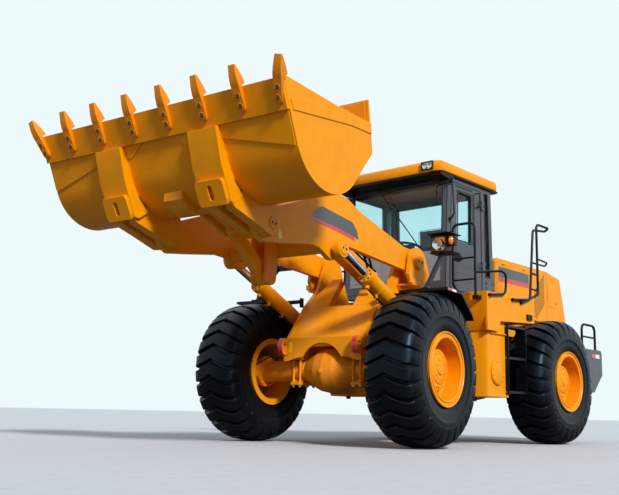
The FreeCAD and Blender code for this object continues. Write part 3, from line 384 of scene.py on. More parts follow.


# One recipe for every hard finish: colour, tone change, dust, lighter edges (partly wear, partly painted
# highlight), grain
def makeFinish(name, colour, roughness, metallic=0.0, coat=0.0, tone=0.12, grain=90.0, bump=0.02, dust=0.3,
               dustHeight=1.4, wearAndHighlight=0.0, wearAndHighlightColour=(0.3, 0.29, 0.28, 1.0), reach=0.006, coarse=7.0,
               gloss=0.5, paintedSkyTint=(1.0, 1.0, 1.0)):
    material = bpy.data.materials.new(name)
    material.use_nodes = True
    tree = material.node_tree
    tree.nodes.clear()
    w = Wiring(tree)
    out = w.add("ShaderNodeOutputMaterial")
    # The specular tint, neutral unless set, paints a bluish sky reflection on black paint and tyres
    shader = w.add("ShaderNodeBsdfPrincipled", {"Metallic": metallic, "Coat Weight": coat,
                                                "Coat Roughness": 0.12, "Specular IOR Level": gloss,
                                                "Specular Tint": (*paintedSkyTint, 1.0)})
    w.link(shader.outputs[0], out.inputs[0])
    surface = w.add("ShaderNodeGroup", {"Scale": grain, "Coarse": coarse}, node_tree=grainGroup)
    shade = w.add("ShaderNodeMapRange", {"From Min": 0.3, "From Max": 0.7, "To Min": 1.0 - tone,
                                         "To Max": 1.0 + tone * 0.5, "Value": surface.outputs["Tone"]})
    base = w.add("ShaderNodeMix", {"Factor": 1.0, "A": (*colour, 1.0), "B": shade.outputs[0]},
                 data_type="RGBA", blend_type="MULTIPLY")
    colourOut = base.outputs["Result"]
    # Edge colour lighter than the base: partly worn paint, partly a painted edge highlight
    if wearAndHighlight > 0.0:
        edges = w.add("ShaderNodeGroup", {"Reach": reach, "Strength": wearAndHighlight}, node_tree=edgeWearAndHighlightGroup)
        wornAndHighlit = w.add("ShaderNodeMix", {"B": wearAndHighlightColour, "Factor": edges.outputs["Mask"], "A": colourOut},
                     data_type="RGBA")
        colourOut = wornAndHighlit.outputs["Result"]
    powder = w.add("ShaderNodeGroup", {"Height": dustHeight, "Amount": dust}, node_tree=dustGroup)
    dusty = w.add("ShaderNodeMix", {"B": dustColour, "Factor": powder.outputs["Mask"], "A": colourOut},
                  data_type="RGBA")
    w.link(dusty.outputs["Result"], shader.inputs["Base Color"])
    rough = w.add("ShaderNodeMapRange", {"To Min": roughness, "To Max": min(1.0, roughness + 0.45),
                                         "Value": powder.outputs["Mask"]})
    w.link(rough.outputs[0], shader.inputs["Roughness"])
    skin = w.add("ShaderNodeBump", {"Strength": bump, "Distance": 0.01, "Height": surface.outputs["Height"]})
    w.link(skin.outputs[0], shader.inputs["Normal"])
    return material


def makeGlass(name, tint, roughness=0.02):
    material = bpy.data.materials.new(name)
    material.use_nodes = True
    tree = material.node_tree
    tree.nodes.clear()
    w = Wiring(tree)
    out = w.add("ShaderNodeOutputMaterial")
    shader = w.add("ShaderNodeBsdfPrincipled", {"Transmission Weight": 1.0, "IOR": 1.25})
    surface = w.add("ShaderNodeGroup", {"Scale": 6.0, "Coarse": 2.0}, node_tree=grainGroup)
    shade = w.add("ShaderNodeMix", {"A": (*tint, 1.0), "B": (*[c * 0.93 for c in tint], 1.0),
                                    "Factor": surface.outputs["Tone"]}, data_type="RGBA")
    w.link(shade.outputs["Result"], shader.inputs["Base Color"])
    rough = w.add("ShaderNodeMapRange", {"To Min": roughness, "To Max": roughness + 0.02,
                                         "Value": surface.outputs["Height"]})
    w.link(rough.outputs[0], shader.inputs["Roughness"])
    w.link(shader.outputs[0], out.inputs[0])
    return material


# Each lighter edge colour below is partly wear and partly a painted edge highlight
yellowPaint = makeFinish("yellowPaint", (0.9, 0.315, 0.0005), 0.38, coat=0.04, tone=0.05, bump=0.03,
                         dust=0.06, wearAndHighlight=1.2, wearAndHighlightColour=(1.0, 0.5, 0.02, 1.0), gloss=0.18)
greyPaint = makeFinish("greyPaint", (0.06, 0.068, 0.08), 0.38, coat=0.15, tone=0.1, bump=0.03, dust=0.08,
                       dustHeight=2.2, wearAndHighlight=0.8, wearAndHighlightColour=(0.2, 0.21, 0.23, 1.0))
# Bluish specular tint on black paint is a painted sky reflection
blackPaint = makeFinish("blackPaint", (0.004, 0.0045, 0.006), 0.32, coat=0.04, tone=0.15, dust=0.01,
                        dustHeight=1.6, wearAndHighlight=0.6, wearAndHighlightColour=(0.04, 0.045, 0.05, 1.0), gloss=0.25,
                        paintedSkyTint=(0.6, 0.8, 1.0))
blackPlastic = makeFinish("blackPlastic", (0.006, 0.006, 0.007), 0.45, tone=0.2, grain=420.0, bump=0.1,
                          dust=0.01, gloss=0.25)
# Bluish specular tint on the tyres is a painted sky reflection; the bluish edge colour is partly a painted
# highlight
tyreRubber = makeFinish("tyreRubber", (0.0035, 0.0042, 0.006), 0.36, tone=0.25, grain=150.0, bump=0.08,
                        dust=0.02, dustHeight=0.5, wearAndHighlight=0.5, wearAndHighlightColour=(0.03, 0.04, 0.058, 1.0),
                        reach=0.008, gloss=0.22, paintedSkyTint=(0.45, 0.72, 1.0))
hoseRubber = makeFinish("hoseRubber", (0.007, 0.007, 0.008), 0.42, tone=0.2, grain=600.0, bump=0.12,
                        dust=0.05)
chromeRod = makeFinish("chromeRod", (0.72, 0.73, 0.75), 0.1, metallic=1.0, tone=0.04, grain=260.0,
                       bump=0.004, dust=0.0)
zincBolt = makeFinish("zincBolt", (0.42, 0.4, 0.36), 0.35, metallic=0.85, tone=0.2, grain=500.0, bump=0.03,
                      dust=0.1)
castSkin = makeFinish("castSkin", (0.86, 0.265, 0.001), 0.44, coat=0.04, tone=0.08, grain=45.0, bump=0.14,
                      dust=0.08, wearAndHighlight=0.8, wearAndHighlightColour=(0.9, 0.43, 0.04, 1.0), gloss=0.3)
engineIron = makeFinish("engineIron", (0.07, 0.075, 0.08), 0.55, metallic=0.3, tone=0.3, grain=60.0,
                        bump=0.25, dust=0.2)
radiatorMesh = makeFinish("radiatorMesh", (0.02, 0.02, 0.022), 0.6, tone=0.2, grain=300.0, bump=0.3,
                          dust=0.25)
seatVinyl = makeFinish("seatVinyl", (0.035, 0.036, 0.042), 0.6, tone=0.15, grain=320.0, bump=0.25, dust=0.0)
cabGrey = makeFinish("cabGrey", (0.3, 0.31, 0.31), 0.6, tone=0.08, grain=380.0, bump=0.15, dust=0.0)
lampSilver = makeFinish("lampSilver", (0.85, 0.86, 0.88), 0.12, metallic=1.0, tone=0.03, grain=40.0,
                        bump=0.05, dust=0.0)
lampOrange = makeFinish("lampOrange", (0.95, 0.24, 0.01), 0.18, coat=0.8, tone=0.1, grain=70.0, bump=0.25,
                        dust=0.0)
lampRed = makeFinish("lampRed", (0.6, 0.02, 0.015), 0.18, coat=0.8, tone=0.1, grain=70.0, bump=0.25, dust=0.0)
reflectRed = makeFinish("reflectRed", (0.72, 0.03, 0.05), 0.25, coat=0.6, tone=0.08, grain=260.0, bump=0.2,
                        dust=0.05)
reflectWhite = makeFinish("reflectWhite", (0.86, 0.86, 0.86), 0.25, coat=0.6, tone=0.05, grain=260.0,
                          bump=0.2, dust=0.05)
stripeDark = makeFinish("stripeDark", (0.045, 0.05, 0.055), 0.3, coat=0.5, tone=0.05, bump=0.01, dust=0.0)
stripeRed = makeFinish("stripeRed", (0.62, 0.02, 0.035), 0.3, coat=0.5, tone=0.05, bump=0.01, dust=0.0)
blankYellow = makeFinish("blankYellow", (0.95, 0.62, 0.01), 0.35, coat=0.3, tone=0.04, bump=0.01, dust=0.02)
tintedGlass = makeGlass("tintedGlass", (0.74, 0.95, 0.97))
clearLens = makeGlass("clearLens", (0.93, 0.94, 0.93))
print("materials made")

nodeFinish = {
    "yellow": yellowPaint, "dark": greyPaint, "black": blackPaint, "tyre": tyreRubber, "chrome": chromeRod,
    "steel": zincBolt, "glass": tintedGlass, "seat": seatVinyl, "plastic": blackPlastic, "lamp": clearLens,
    "cast": engineIron,
}
ownFinish = {
    "front_axle": castSkin, "rear_axle": castSkin, "rocker": castSkin, "bucket_teeth": castSkin,
    "grille": radiatorMesh,
}
for part in frame["record"]["subparts"]:
    obj = nodes[part["node"]]
    finish = ownFinish.get(part["node"], nodeFinish[part["material_slot"]])
    obj.data.materials.clear()
    obj.data.materials.append(finish)

# Camera as the photograph's: eye near the ground, off the machine's left front corner
shot = {"eye": (9.259, 6.431, 0.342), "yaw": 221.2, "pitch": 10.58, "roll": 1.22, "focal": 881.2,
        "wide": 619.0}
yaw = math.radians(shot["yaw"])
pitch = math.radians(shot["pitch"])
roll = math.radians(shot["roll"])
ahead = Vector((math.cos(yaw) * math.cos(pitch), math.sin(yaw) * math.cos(pitch), math.sin(pitch)))
right = Vector((math.sin(yaw), -math.cos(yaw), 0.0))
above = right.cross(ahead)
rightRolled = right * math.cos(roll) + above * math.sin(roll)
aboveRolled = above * math.cos(roll) - right * math.sin(roll)
camera = bpy.data.objects.new("photoCamera", bpy.data.cameras.new("photoCamera"))
bpy.context.scene.collection.objects.link(camera)
bpy.context.scene.camera = camera
camera.data.sensor_width = 36.0
camera.data.lens = shot["focal"] * camera.data.sensor_width / shot["wide"]
axes = Matrix((rightRolled, aboveRolled, -ahead)).transposed().to_4x4()
camera.matrix_world = Matrix.Translation(shot["eye"]) @ axes
camera.data.clip_end = 500.0

# Pale floor, soft sky, one wide lamp from the machine's left front
stageLook = {"floor": (0.6, 0.63, 0.66), "floorBounce": 0.22, "sky": (0.86, 0.95, 0.98),
             "fill": (0.84, 0.9, 1.0), "fillPower": 0.46, "sunPower": 3.4, "sunFrom": (0.38, 0.85, 0.58),
             "sunAngle": 10.0}
floorBm = bmesh.new()
addPlate(floorBm, [(-150, -150), (150, -150), (150, 150), (-150, 150)], -0.05, 0.0,
         lambda a, b, depth: Vector((a, b, depth)))
floorMesh = bpy.data.meshes.new("floor")
floorBm.to_mesh(floorMesh)
floorBm.free()
floor = bpy.data.objects.new("floor", floorMesh)
bpy.context.scene.collection.objects.link(floor)
floorMaterial = makeFinish("floorPale", stageLook["floor"], 0.85, tone=0.05, grain=30.0, bump=0.02, dust=0.0)
floorTree = floorMaterial.node_tree
floorShader = next(n for n in floorTree.nodes if n.type == "BSDF_PRINCIPLED")
floorWires = Wiring(floorTree)
floorSeen = floorWires.add("ShaderNodeLightPath")
floorPick = floorWires.add("ShaderNodeMix", {"Factor": floorSeen.outputs["Is Camera Ray"],
                                             "A": (*[c * stageLook["floorBounce"]
                                                     for c in stageLook["floor"]], 1.0),
                                             "B": floorShader.inputs["Base Color"].links[0].from_socket},
                           data_type="RGBA")
floorWires.link(floorPick.outputs["Result"], floorShader.inputs["Base Color"])
floorMesh.materials.append(floorMaterial)

world = bpy.data.worlds.new("studio")
bpy.context.scene.world = world
world.use_nodes = True
w = Wiring(world.node_tree)
world.node_tree.nodes.clear()
worldOut = w.add("ShaderNodeOutputWorld")
lightPath = w.add("ShaderNodeLightPath")
seen = w.add("ShaderNodeMath", {0: lightPath.outputs["Is Camera Ray"],
                                1: lightPath.outputs["Is Glossy Ray"]}, operation="MAXIMUM")
seenToo = w.add("ShaderNodeMath", {0: seen.outputs[0], 1: lightPath.outputs["Is Transmission Ray"]},
                operation="MAXIMUM")
fill = w.add("ShaderNodeBackground", {"Color": (*stageLook["fill"], 1.0), "Strength": stageLook["fillPower"]})
sky = w.add("ShaderNodeBackground", {"Color": (*stageLook["sky"], 1.0), "Strength": 1.0})
pick = w.add("ShaderNodeMixShader", {0: seenToo.outputs[0], 1: fill.outputs[0], 2: sky.outputs[0]})
w.link(pick.outputs[0], worldOut.inputs[0])

sun = bpy.data.objects.new("sun", bpy.data.lights.new("sun", "SUN"))
bpy.context.scene.collection.objects.link(sun)
sun.data.energy = stageLook["sunPower"]
sun.data.angle = math.radians(stageLook["sunAngle"])
sun.rotation_mode = "QUATERNION"
sun.rotation_quaternion = Vector(stageLook["sunFrom"]).to_track_quat("Z", "Y")
bpy.context.scene.view_settings.view_transform = "Standard"
print("camera, stage and light set")

# Tyres: a turned carcass and full-width chevron lugs that run down over the shoulders
tyreSize = {
    "radius": 0.8, "lugs": 28, "lean": 0.115, "chamfer": 0.007, "share": 0.76,
    "top": [(0.797, 0.0), (0.796, 0.06), (0.793, 0.12), (0.786, 0.17), (0.772, 0.215), (0.75, 0.248),
            (0.718, 0.269), (0.68, 0.282), (0.64, 0.29), (0.605, 0.2955), (0.592, 0.2965)],
    "floor": [(0.757, 0.0), (0.756, 0.06), (0.753, 0.12), (0.746, 0.165), (0.732, 0.203), (0.711, 0.232),
              (0.684, 0.253), (0.655, 0.27), (0.625, 0.283), (0.6, 0.2935), (0.59, 0.296)],
    "side": [(0.575, 0.2975), (0.552, 0.2985), (0.54, 0.2985), (0.534, 0.2935), (0.52, 0.289), (0.48, 0.288),
             (0.44, 0.283), (0.41, 0.274), (0.392, 0.262), (0.372, 0.2585), (0.355, 0.24)],
}
axleX = 1.65
tread = 2.25
wheels = {
    "front_left": (axleX, tread / 2.0), "front_right": (axleX, -tread / 2.0),
    "rear_left": (-axleX, tread / 2.0), "rear_right": (-axleX, -tread / 2.0),
}


def makeLugMesh():
    bm = bmesh.new()
    pitch = 2.0 * math.pi / tyreSize["lugs"]
    tops = tyreSize["top"]
    floors = tyreSize["floor"]
    sections = [(-1, i) for i in range(len(tops) - 1, 0, -1)] + [(1, i) for i in range(len(tops))]
    rings = []
    last = len(tops) - 1
    for side, i in sections:
        topR, topY = tops[i]
        floorR, floorY = floors[i]
        lean = -tyreSize["lean"] * min(1.0, topY / 0.215) ** 0.85
        down = max(0.0, (i - 5) / (last - 5.0))
        share = tyreSize["share"] - 0.05 * math.sin(math.pi * min(1.0, i / 6.0)) + 0.16 * down
        half = pitch * share / 2.0
        draft = 0.008 / floorR
        inset = tyreSize["chamfer"] / topR
        ring = []
        for radius, across, turn in (
                (floorR - 0.004, floorY - 0.002, -half - draft), (topR - tyreSize["chamfer"], topY, -half),
                (topR, topY, -half + inset), (topR, topY, half - inset),
                (topR - tyreSize["chamfer"], topY, half), (floorR - 0.004, floorY - 0.002, half + draft)):
            a = lean + turn
            ring.append(bm.verts.new((radius * math.cos(a), side * across, radius * math.sin(a))))
        rings.append(ring)
    for low, high in zip(rings, rings[1:]):
        for k in range(5):
            bm.faces.new((low[k], high[k], high[k + 1], low[k + 1]))
    bm.faces.new(rings[0])
    bm.faces.new(list(reversed(rings[-1])))
    bmesh.ops.recalc_face_normals(bm, faces=bm.faces)
    mesh = bpy.data.meshes.new("lug")
    bm.to_mesh(mesh)
    bm.free()
    return mesh


def makeTyreMesh():
    lugs = grown(makeLugMesh(), ringTree, {"Count": tyreSize["lugs"], "Finish": tyreRubber})
    bm = bmesh.new()
    bm.from_mesh(lugs)
    half = tyreSize["floor"] + tyreSize["side"]
    profile = [(r, -y) for r, y in reversed(half)] + half[1:]
    addTurned(bm, profile, (0, 0, 0), (0, 1, 0), steps=112, closed=True)
    bmesh.ops.remove_doubles(bm, verts=bm.verts, dist=0.00002)
    bmesh.ops.recalc_face_normals(bm, faces=bm.faces)
    mesh = bpy.data.meshes.new("tyre")
    bm.to_mesh(mesh)
    bm.free()
    return mesh


tyreMesh = makeTyreMesh()
for place, (x, y) in wheels.items():
    mesh = tyreMesh.copy()
    mesh.transform(Matrix.Translation((x, y, tyreSize["radius"])))
    obj = placeMesh(mesh, "treadedTyre_" + place, "wheel_" + place, tyreRubber, sharp=28.0)
    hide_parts("tyre_" + place)
print("tyres made")

# Places round an axis: each is a point and the way its bolt faces
def ringPlaces(centre, axis, radius, count, start=0.0):
    axis = Vector(axis).normalized()
    side = axis.orthogonal().normalized()
    other = axis.cross(side)
    places = []
    for i in range(count):
        a = math.radians(start) + 2.0 * math.pi * i / count
        places.append((Vector(centre) + (side * math.cos(a) + other * math.sin(a)) * radius, axis))
    return places


# A round bead laid along points, slightly uneven as hand welding is
def addBead(bm, points, radius, seed=1, step=0.012):
    chance = random.Random(seed)
    path = []
    for a, b in zip(points, points[1:]):
        a, b = Vector(a), Vector(b)
        count = max(1, int((b - a).length / step))
        for i in range(count):
            path.append(a.lerp(b, i / count))
    path.append(Vector(points[-1]))
    rings = []
    normal = None
    for i, p in enumerate(path):
        ahead = (path[min(i + 1, len(path) - 1)] - path[max(i - 1, 0)]).normalized()
        normal = ahead.orthogonal() if normal is None else normal - ahead * normal.dot(ahead)
        normal.normalize()
        across = ahead.cross(normal)
        thick = radius * (0.86 + 0.28 * chance.random())
        ring = []
        for k in range(6):
            a = 2.0 * math.pi * k / 6
            ring.append(bm.verts.new(p + (normal * math.cos(a) + across * math.sin(a)) * thick))
        rings.append(ring)
    for low, high in zip(rings, rings[1:]):
        for k in range(6):
            m = (k + 1) % 6
            bm.faces.new((low[k], low[m], high[m], high[k]))
    bm.faces.new(list(reversed(rings[0])))
    bm.faces.new(rings[-1])


# Rims: rolled lip, lock ring, hub cover, nuts, valve and brake disc, all turning with the wheel
rimTrim = {"lip": [(0.37, 0.2765), (0.382, 0.2765), (0.387, 0.2835), (0.383, 0.2905), (0.373, 0.29),
                   (0.367, 0.283)], "lockRing": [(0.3195, 0.268), (0.334, 0.27), (0.339, 0.279),
                                                 (0.333, 0.287), (0.321, 0.286), (0.315, 0.277)],
           "seam": [(0.31, 0.0905), (0.3195, 0.0905), (0.3195, 0.104), (0.314, 0.099)],
           "cover": [(0.0, 0.2165), (0.05, 0.2165), (0.057, 0.2115), (0.057, 0.2035), (0.14, 0.2035),
                     (0.15, 0.198), (0.153, 0.19), (0.186, 0.19), (0.193, 0.185), (0.194, 0.1803),
                     (0.0, 0.1803)], "nuts": 20, "nutCircle": 0.2235, "nutSize": 0.0125, "coverBolts": 12,
           "coverCircle": 0.1725, "capBolts": 6, "disc": [(0.17, -0.0455), (0.262, -0.0455),
                                                          (0.262, -0.0655), (0.17, -0.0655)],
           "carrier": [(0.168, -0.0305), (0.2, -0.0305), (0.2, -0.07), (0.168, -0.07)],}


def makeRimTrim(place, x, y):
    side = 1.0 if y > 0 else -1.0
    centre = Vector((x, y, tyreSize["radius"]))
    out = Vector((0.0, side, 0.0))
    body = "wheel_" + place
    bm = bmesh.new()
    for key in ("lip", "lockRing", "seam"):
        addTurned(bm, rimTrim[key], centre, out, steps=96, closed=True)
    addTurned(bm, rimTrim["cover"], centre, out, steps=64)
    finishMesh(bm, "rimRings_" + place, body, yellowPaint, sharp=30.0)
    bolts = ringPlaces(centre + out * 0.1102, out, rimTrim["nutCircle"], rimTrim["nuts"])
    boltPiece("wheelNuts_" + place, body, bolts, rimTrim["nutSize"], yellowPaint)
    bolts = ringPlaces(centre + out * 0.1902, out, rimTrim["coverCircle"], rimTrim["coverBolts"], 9.0)
    bolts += ringPlaces(centre + out * 0.2037, out, 0.098, rimTrim["capBolts"], 20.0)
    boltPiece("hubBolts_" + place, body, bolts, 0.0095, yellowPaint)
    bm = bmesh.new()
    a = math.radians(28.0)
    foot = centre + Vector((math.cos(a) * 0.3175, side * 0.165, math.sin(a) * 0.3175))
    head = centre + Vector((math.cos(a) * 0.292, side * 0.222, math.sin(a) * 0.292))
    addTube(bm, [foot, foot.lerp(head, 0.35), head], 0.0065, sides=10)
    addTube(bm, [head, head + (head - foot).normalized() * 0.016], 0.0095, sides=12)
    finishMesh(bm, "tyreValve_" + place, body, blackPlastic)
    bm = bmesh.new()
    addTurned(bm, rimTrim["disc"], centre, out, steps=72, closed=True)
    addTurned(bm, rimTrim["carrier"], centre, out, steps=48, closed=True)
    finishMesh(bm, "brakeDisc_" + place, body, brakeSteel, sharp=30.0)


# Brake callipers and arm flange bolts stay on the axle
axleTrim = {"calliperAt": (4.0, 176.0), "calliperWide": 0.22, "flangeBolts": 14}


def makeAxleTrim(place, x, y):
    side = 1.0 if y > 0 else -1.0
    body = "front_frame" if x > 0 else "rear_frame"
    height = tyreSize["radius"]
    centre = Vector((x, y, height))
    bm = bmesh.new()
    hoseEnds = []
    for angle in axleTrim["calliperAt"]:
        a = math.radians(angle)
        away = Vector((math.cos(a), 0.0, math.sin(a)))
        along = Vector((-math.sin(a), 0.0, math.cos(a)))

        def at(r, t, across):
            return centre + away * r + along * t + Vector((0.0, side * across, 0.0))

        half = axleTrim["calliperWide"] / 2.0
        for r0, r1, c0, c1, w in ((0.15, 0.27, -0.165, -0.071, half),
                                  (0.267, 0.288, -0.14, -0.006, half * 0.85),
                                  (0.216, 0.268, -0.04, -0.006, half * 0.8),
                                  (0.11, 0.24, -0.19, -0.163, half * 0.7)):
            outline = [(r0, -w), (r1 - 0.012, -w), (r1, -w + 0.012), (r1, w - 0.012), (r1 - 0.012, w),
                       (r0, w)]
            addPlate(bm, outline, c0, c1, at)
        for t in (-0.035, 0.035):
            addTurned(bm, [(0.0, 0.0), (0.026, 0.0), (0.026, 0.02), (0.02, 0.026), (0.0, 0.026)],
                      at(0.232, t, -0.1155), (0.0, -side, 0.0), steps=24)
        hoseEnds.append(at(0.282, 0.0, -0.118))
    finishMesh(bm, "brakeCallipers_" + place, body, yellowPaint, bevel=0.003)
    # brake pipe from the callipers in along the arm
    bm = bmesh.new()
    inner = centre + Vector((0.0, side * -0.4, 0.14))
    for k, end in enumerate(hoseEnds):
        lift = Vector((0.0, side * -0.05, 0.02))
        path = roundPath([end, end + lift, inner + Vector((0.05 - 0.1 * k, side * 0.12, 0.03)), inner], 0.05)
        addTube(bm, path, 0.007, sides=8)
    addTube(bm, [inner, inner + Vector((0.0, side * -0.26, 0.0))], 0.007, sides=8)
    finishMesh(bm, "brakePipes_" + place, body, blackPlastic)
    inward = Vector((0.0, -side, 0.0))
    bolts = ringPlaces(centre + Vector((0.0, side * -0.2004, 0.0)), inward, 0.158, axleTrim["flangeBolts"])
    boltPiece("armFlangeBolts_" + place, body, bolts, 0.011, yellowPaint)


brakeSteel = makeFinish("brakeSteel", (0.3, 0.29, 0.28), 0.32, metallic=0.9, tone=0.25, grain=30.0,
                        bump=0.05, dust=0.15, dustHeight=3.0)
for place, (x, y) in wheels.items():
    makeRimTrim(place, x, y)
    makeAxleTrim(place, x, y)

# Axle bowls: round cover seam with bolts, drain and level plugs, saddle bolts under the frame
for body, x, facing in (("front_frame", axleX, 1.0), ("rear_frame", -axleX, -1.0)):
    height = tyreSize["radius"]
    bm = bmesh.new()
    addTurned(bm, [(0.15, -0.01), (0.176, -0.01), (0.176, 0.013), (0.15, 0.013)],
              (x - facing * 0.15, 0.0, height), (1, 0, 0), steps=64, closed=True)
    addTurned(bm, [(0.0, 0.0), (0.024, 0.0), (0.024, 0.01), (0.014, 0.016), (0.0, 0.016)],
              (x + facing * 0.2475, 0.0, height - 0.02), (facing, 0, 0), steps=24)
    addTurned(bm, [(0.0, 0.0), (0.026, 0.0), (0.026, 0.012), (0.0, 0.012)], (x, 0.0, height - 0.2495),
              (0, 0, -1), steps=24)
    for side in (-1.0, 1.0):
        for seamAt in (0.32, 0.9247):
            radius = 0.1205 if seamAt < 0.5 else 0.1215
            ring = [(radius - 0.006, -0.008), (radius + 0.006, -0.005), (radius + 0.007, 0.004),
                    (radius - 0.006, 0.01)]
            where = seamAt + (0.004 if seamAt < 0.5 else -0.008)
            addTurned(bm, ring, (x, side * where, height), (0, 1, 0), steps=48, closed=True)
    finishMesh(bm, "bowlSeams_" + body, body, castSkin, sharp=40.0)
    bolts = ringPlaces((x - facing * 0.1635, 0.0, height), (-facing, 0, 0), 0.163, 16)
    boltPiece("carrierBolts_" + body, body, bolts, 0.009, yellowPaint)
bm = bmesh.new()
saddle = []
for side in (-1.0, 1.0):
    outline = [(1.49, 0.335), (1.81, 0.335), (1.81, 0.465), (1.49, 0.465)]
    low, high = 0.64, 0.672
    addPlate(bm, outline, low, high, lambda a, b, depth: Vector((a, side * b, depth)))
    for sx in (1.52, 1.78):
        for sy in (0.355, 0.445):
            addTube(bm, [(sx, side * sy, 0.612), (sx, side * sy, 0.92)], 0.0125, sides=12)
            saddle.append(((sx, side * sy, 0.64), (0, 0, -1)))
    for sx in (1.56, 1.74):
        addPlate(bm, [(sx - 0.012, 0.671), (sx + 0.012, 0.671), (sx + 0.012, 0.7), (sx - 0.012, 0.7)],
                 side * 0.34, side * 0.46, lambda a, b, depth: Vector((a, depth, b)))
finishMesh(bm, "axleSaddles", "front_frame", yellowPaint, bevel=0.003)
boltPiece("saddleNuts", "front_frame", saddle, 0.021, zincBolt)
print("wheel and axle trim made")

# A plate with a window: outer and inner outlines of equal count, pushed through a depth
def addFrame(bm, outer, inner, depthA, depthB, toPoint):
    rings = []
    for points, depth in ((outer, depthA), (outer, depthB), (inner, depthB), (inner, depthA)):
        rings.append([bm.verts.new(toPoint(a, b, depth)) for a, b in points])
    for low, high in zip(rings, rings[1:] + rings[:1]):
        for i in range(len(low)):
            k = (i + 1) % len(low)
            bm.faces.new((low[i], low[k], high[k], high[i]))


# Tubes through round bends, as bent rail is
def addRail(bm, points, radius, bend, sides=12):
    addTube(bm, roundPath(points, bend), radius, sides)


# Front fenders: a folded plate with turned-down lips, stays to the chassis and reflectors on the lip
fenderForm = {
    "top": [(1.665, 1.645), (1.33, 1.632), (1.075, 1.412), (1.045, 1.352)], "skin": 0.006, "lip": 0.03,
    "inner": 0.85, "outer": 1.425,
}


def makeFender(side):
    label = "left" if side > 0 else "right"
    bm = bmesh.new()
    skin = fenderForm["skin"]
    top = fenderForm["top"]
    under = [(1.665, 1.639), (1.333, 1.626), (1.0795, 1.408), (1.05, 1.349)]
    y0, y1 = side * fenderForm["inner"], side * fenderForm["outer"]
    addPlate(bm, top + under[::-1], y0, y1, sideView)
    lip = fenderForm["lip"]
    addPlate(bm, [(1.665, 1.645), (1.665, 1.645 - lip), (1.659, 1.645 - lip), (1.659, 1.64)], y0, y1,
             sideView)
    lowered = [(1.665, 1.645 - lip), (1.337, 1.632 - lip), (1.084, 1.412 - lip * 0.6), (1.05, 1.34)]
    for y in (fenderForm["outer"], fenderForm["inner"] + skin):
        addPlate(bm, top + lowered[::-1], side * (y - skin), side * y, sideView)
    for x in (1.56, 1.2):
        z = 1.64 if x > 1.3 else 1.518
        addBox(bm, (x - 0.02, min(side * 0.515, y0), z - 0.052), (x + 0.02, max(side * 0.515, y0), z - 0.012))
        addPlate(bm, [(x - 0.035, z - 0.1), (x + 0.035, z - 0.1), (x + 0.035, z + 0.01),
                      (x - 0.035, z + 0.01)], side * 0.515, side * 0.523, sideView)
    obj = finishMesh(bm, "frontFender_" + label, "front_frame", blackPaint, bevel=0.002)
    bolts = []
    for x, z in ((1.56, 1.64), (1.2, 1.518)):
        bolts += [((x + d, side * 0.523, z - 0.09), (0, side, 0)) for d in (-0.02, 0.02)]
    bolts += [((x, side * y, 1.6455 - (1.665 - x) * 0.0388), (0, 0, 1)) for x, y in
              ((1.63, 0.885), (1.4, 0.885), (1.63, 1.1), (1.4, 1.1))]
    boltPiece("fenderBolts_" + label, "front_frame", bolts, 0.009, zincBolt)
    for k, (material, x0, x1) in enumerate(((reflectRed, 1.655, 1.56), (reflectWhite, 1.558, 1.465))):
        bm = bmesh.new()
        z0, z1 = [1.645 - (1.665 - x) * 0.0388 for x in (x0, x1)]
        outline = [(x0, z0 - 0.003), (x1, z1 - 0.003), (x1, z1 - 0.028), (x0, z0 - 0.028)]
        addPlate(bm, outline, side * 1.4252, side * 1.4275, sideView)
        finishMesh(bm, "fenderReflector_%s_%d" % (label, k), "front_frame", material)
    return obj


for side in (1, -1):
    obj = makeFender(side)
    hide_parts("front_fenders")

# Headlamps on slanted posts: housing with a pocket, reflector bowls, lens, hood, shelf and turn signal
lampForm = {"low": (1.095, 1.022, 2.105), "high": (1.272, 1.208, 2.29), "rim": 0.014, "pocket": 0.052}


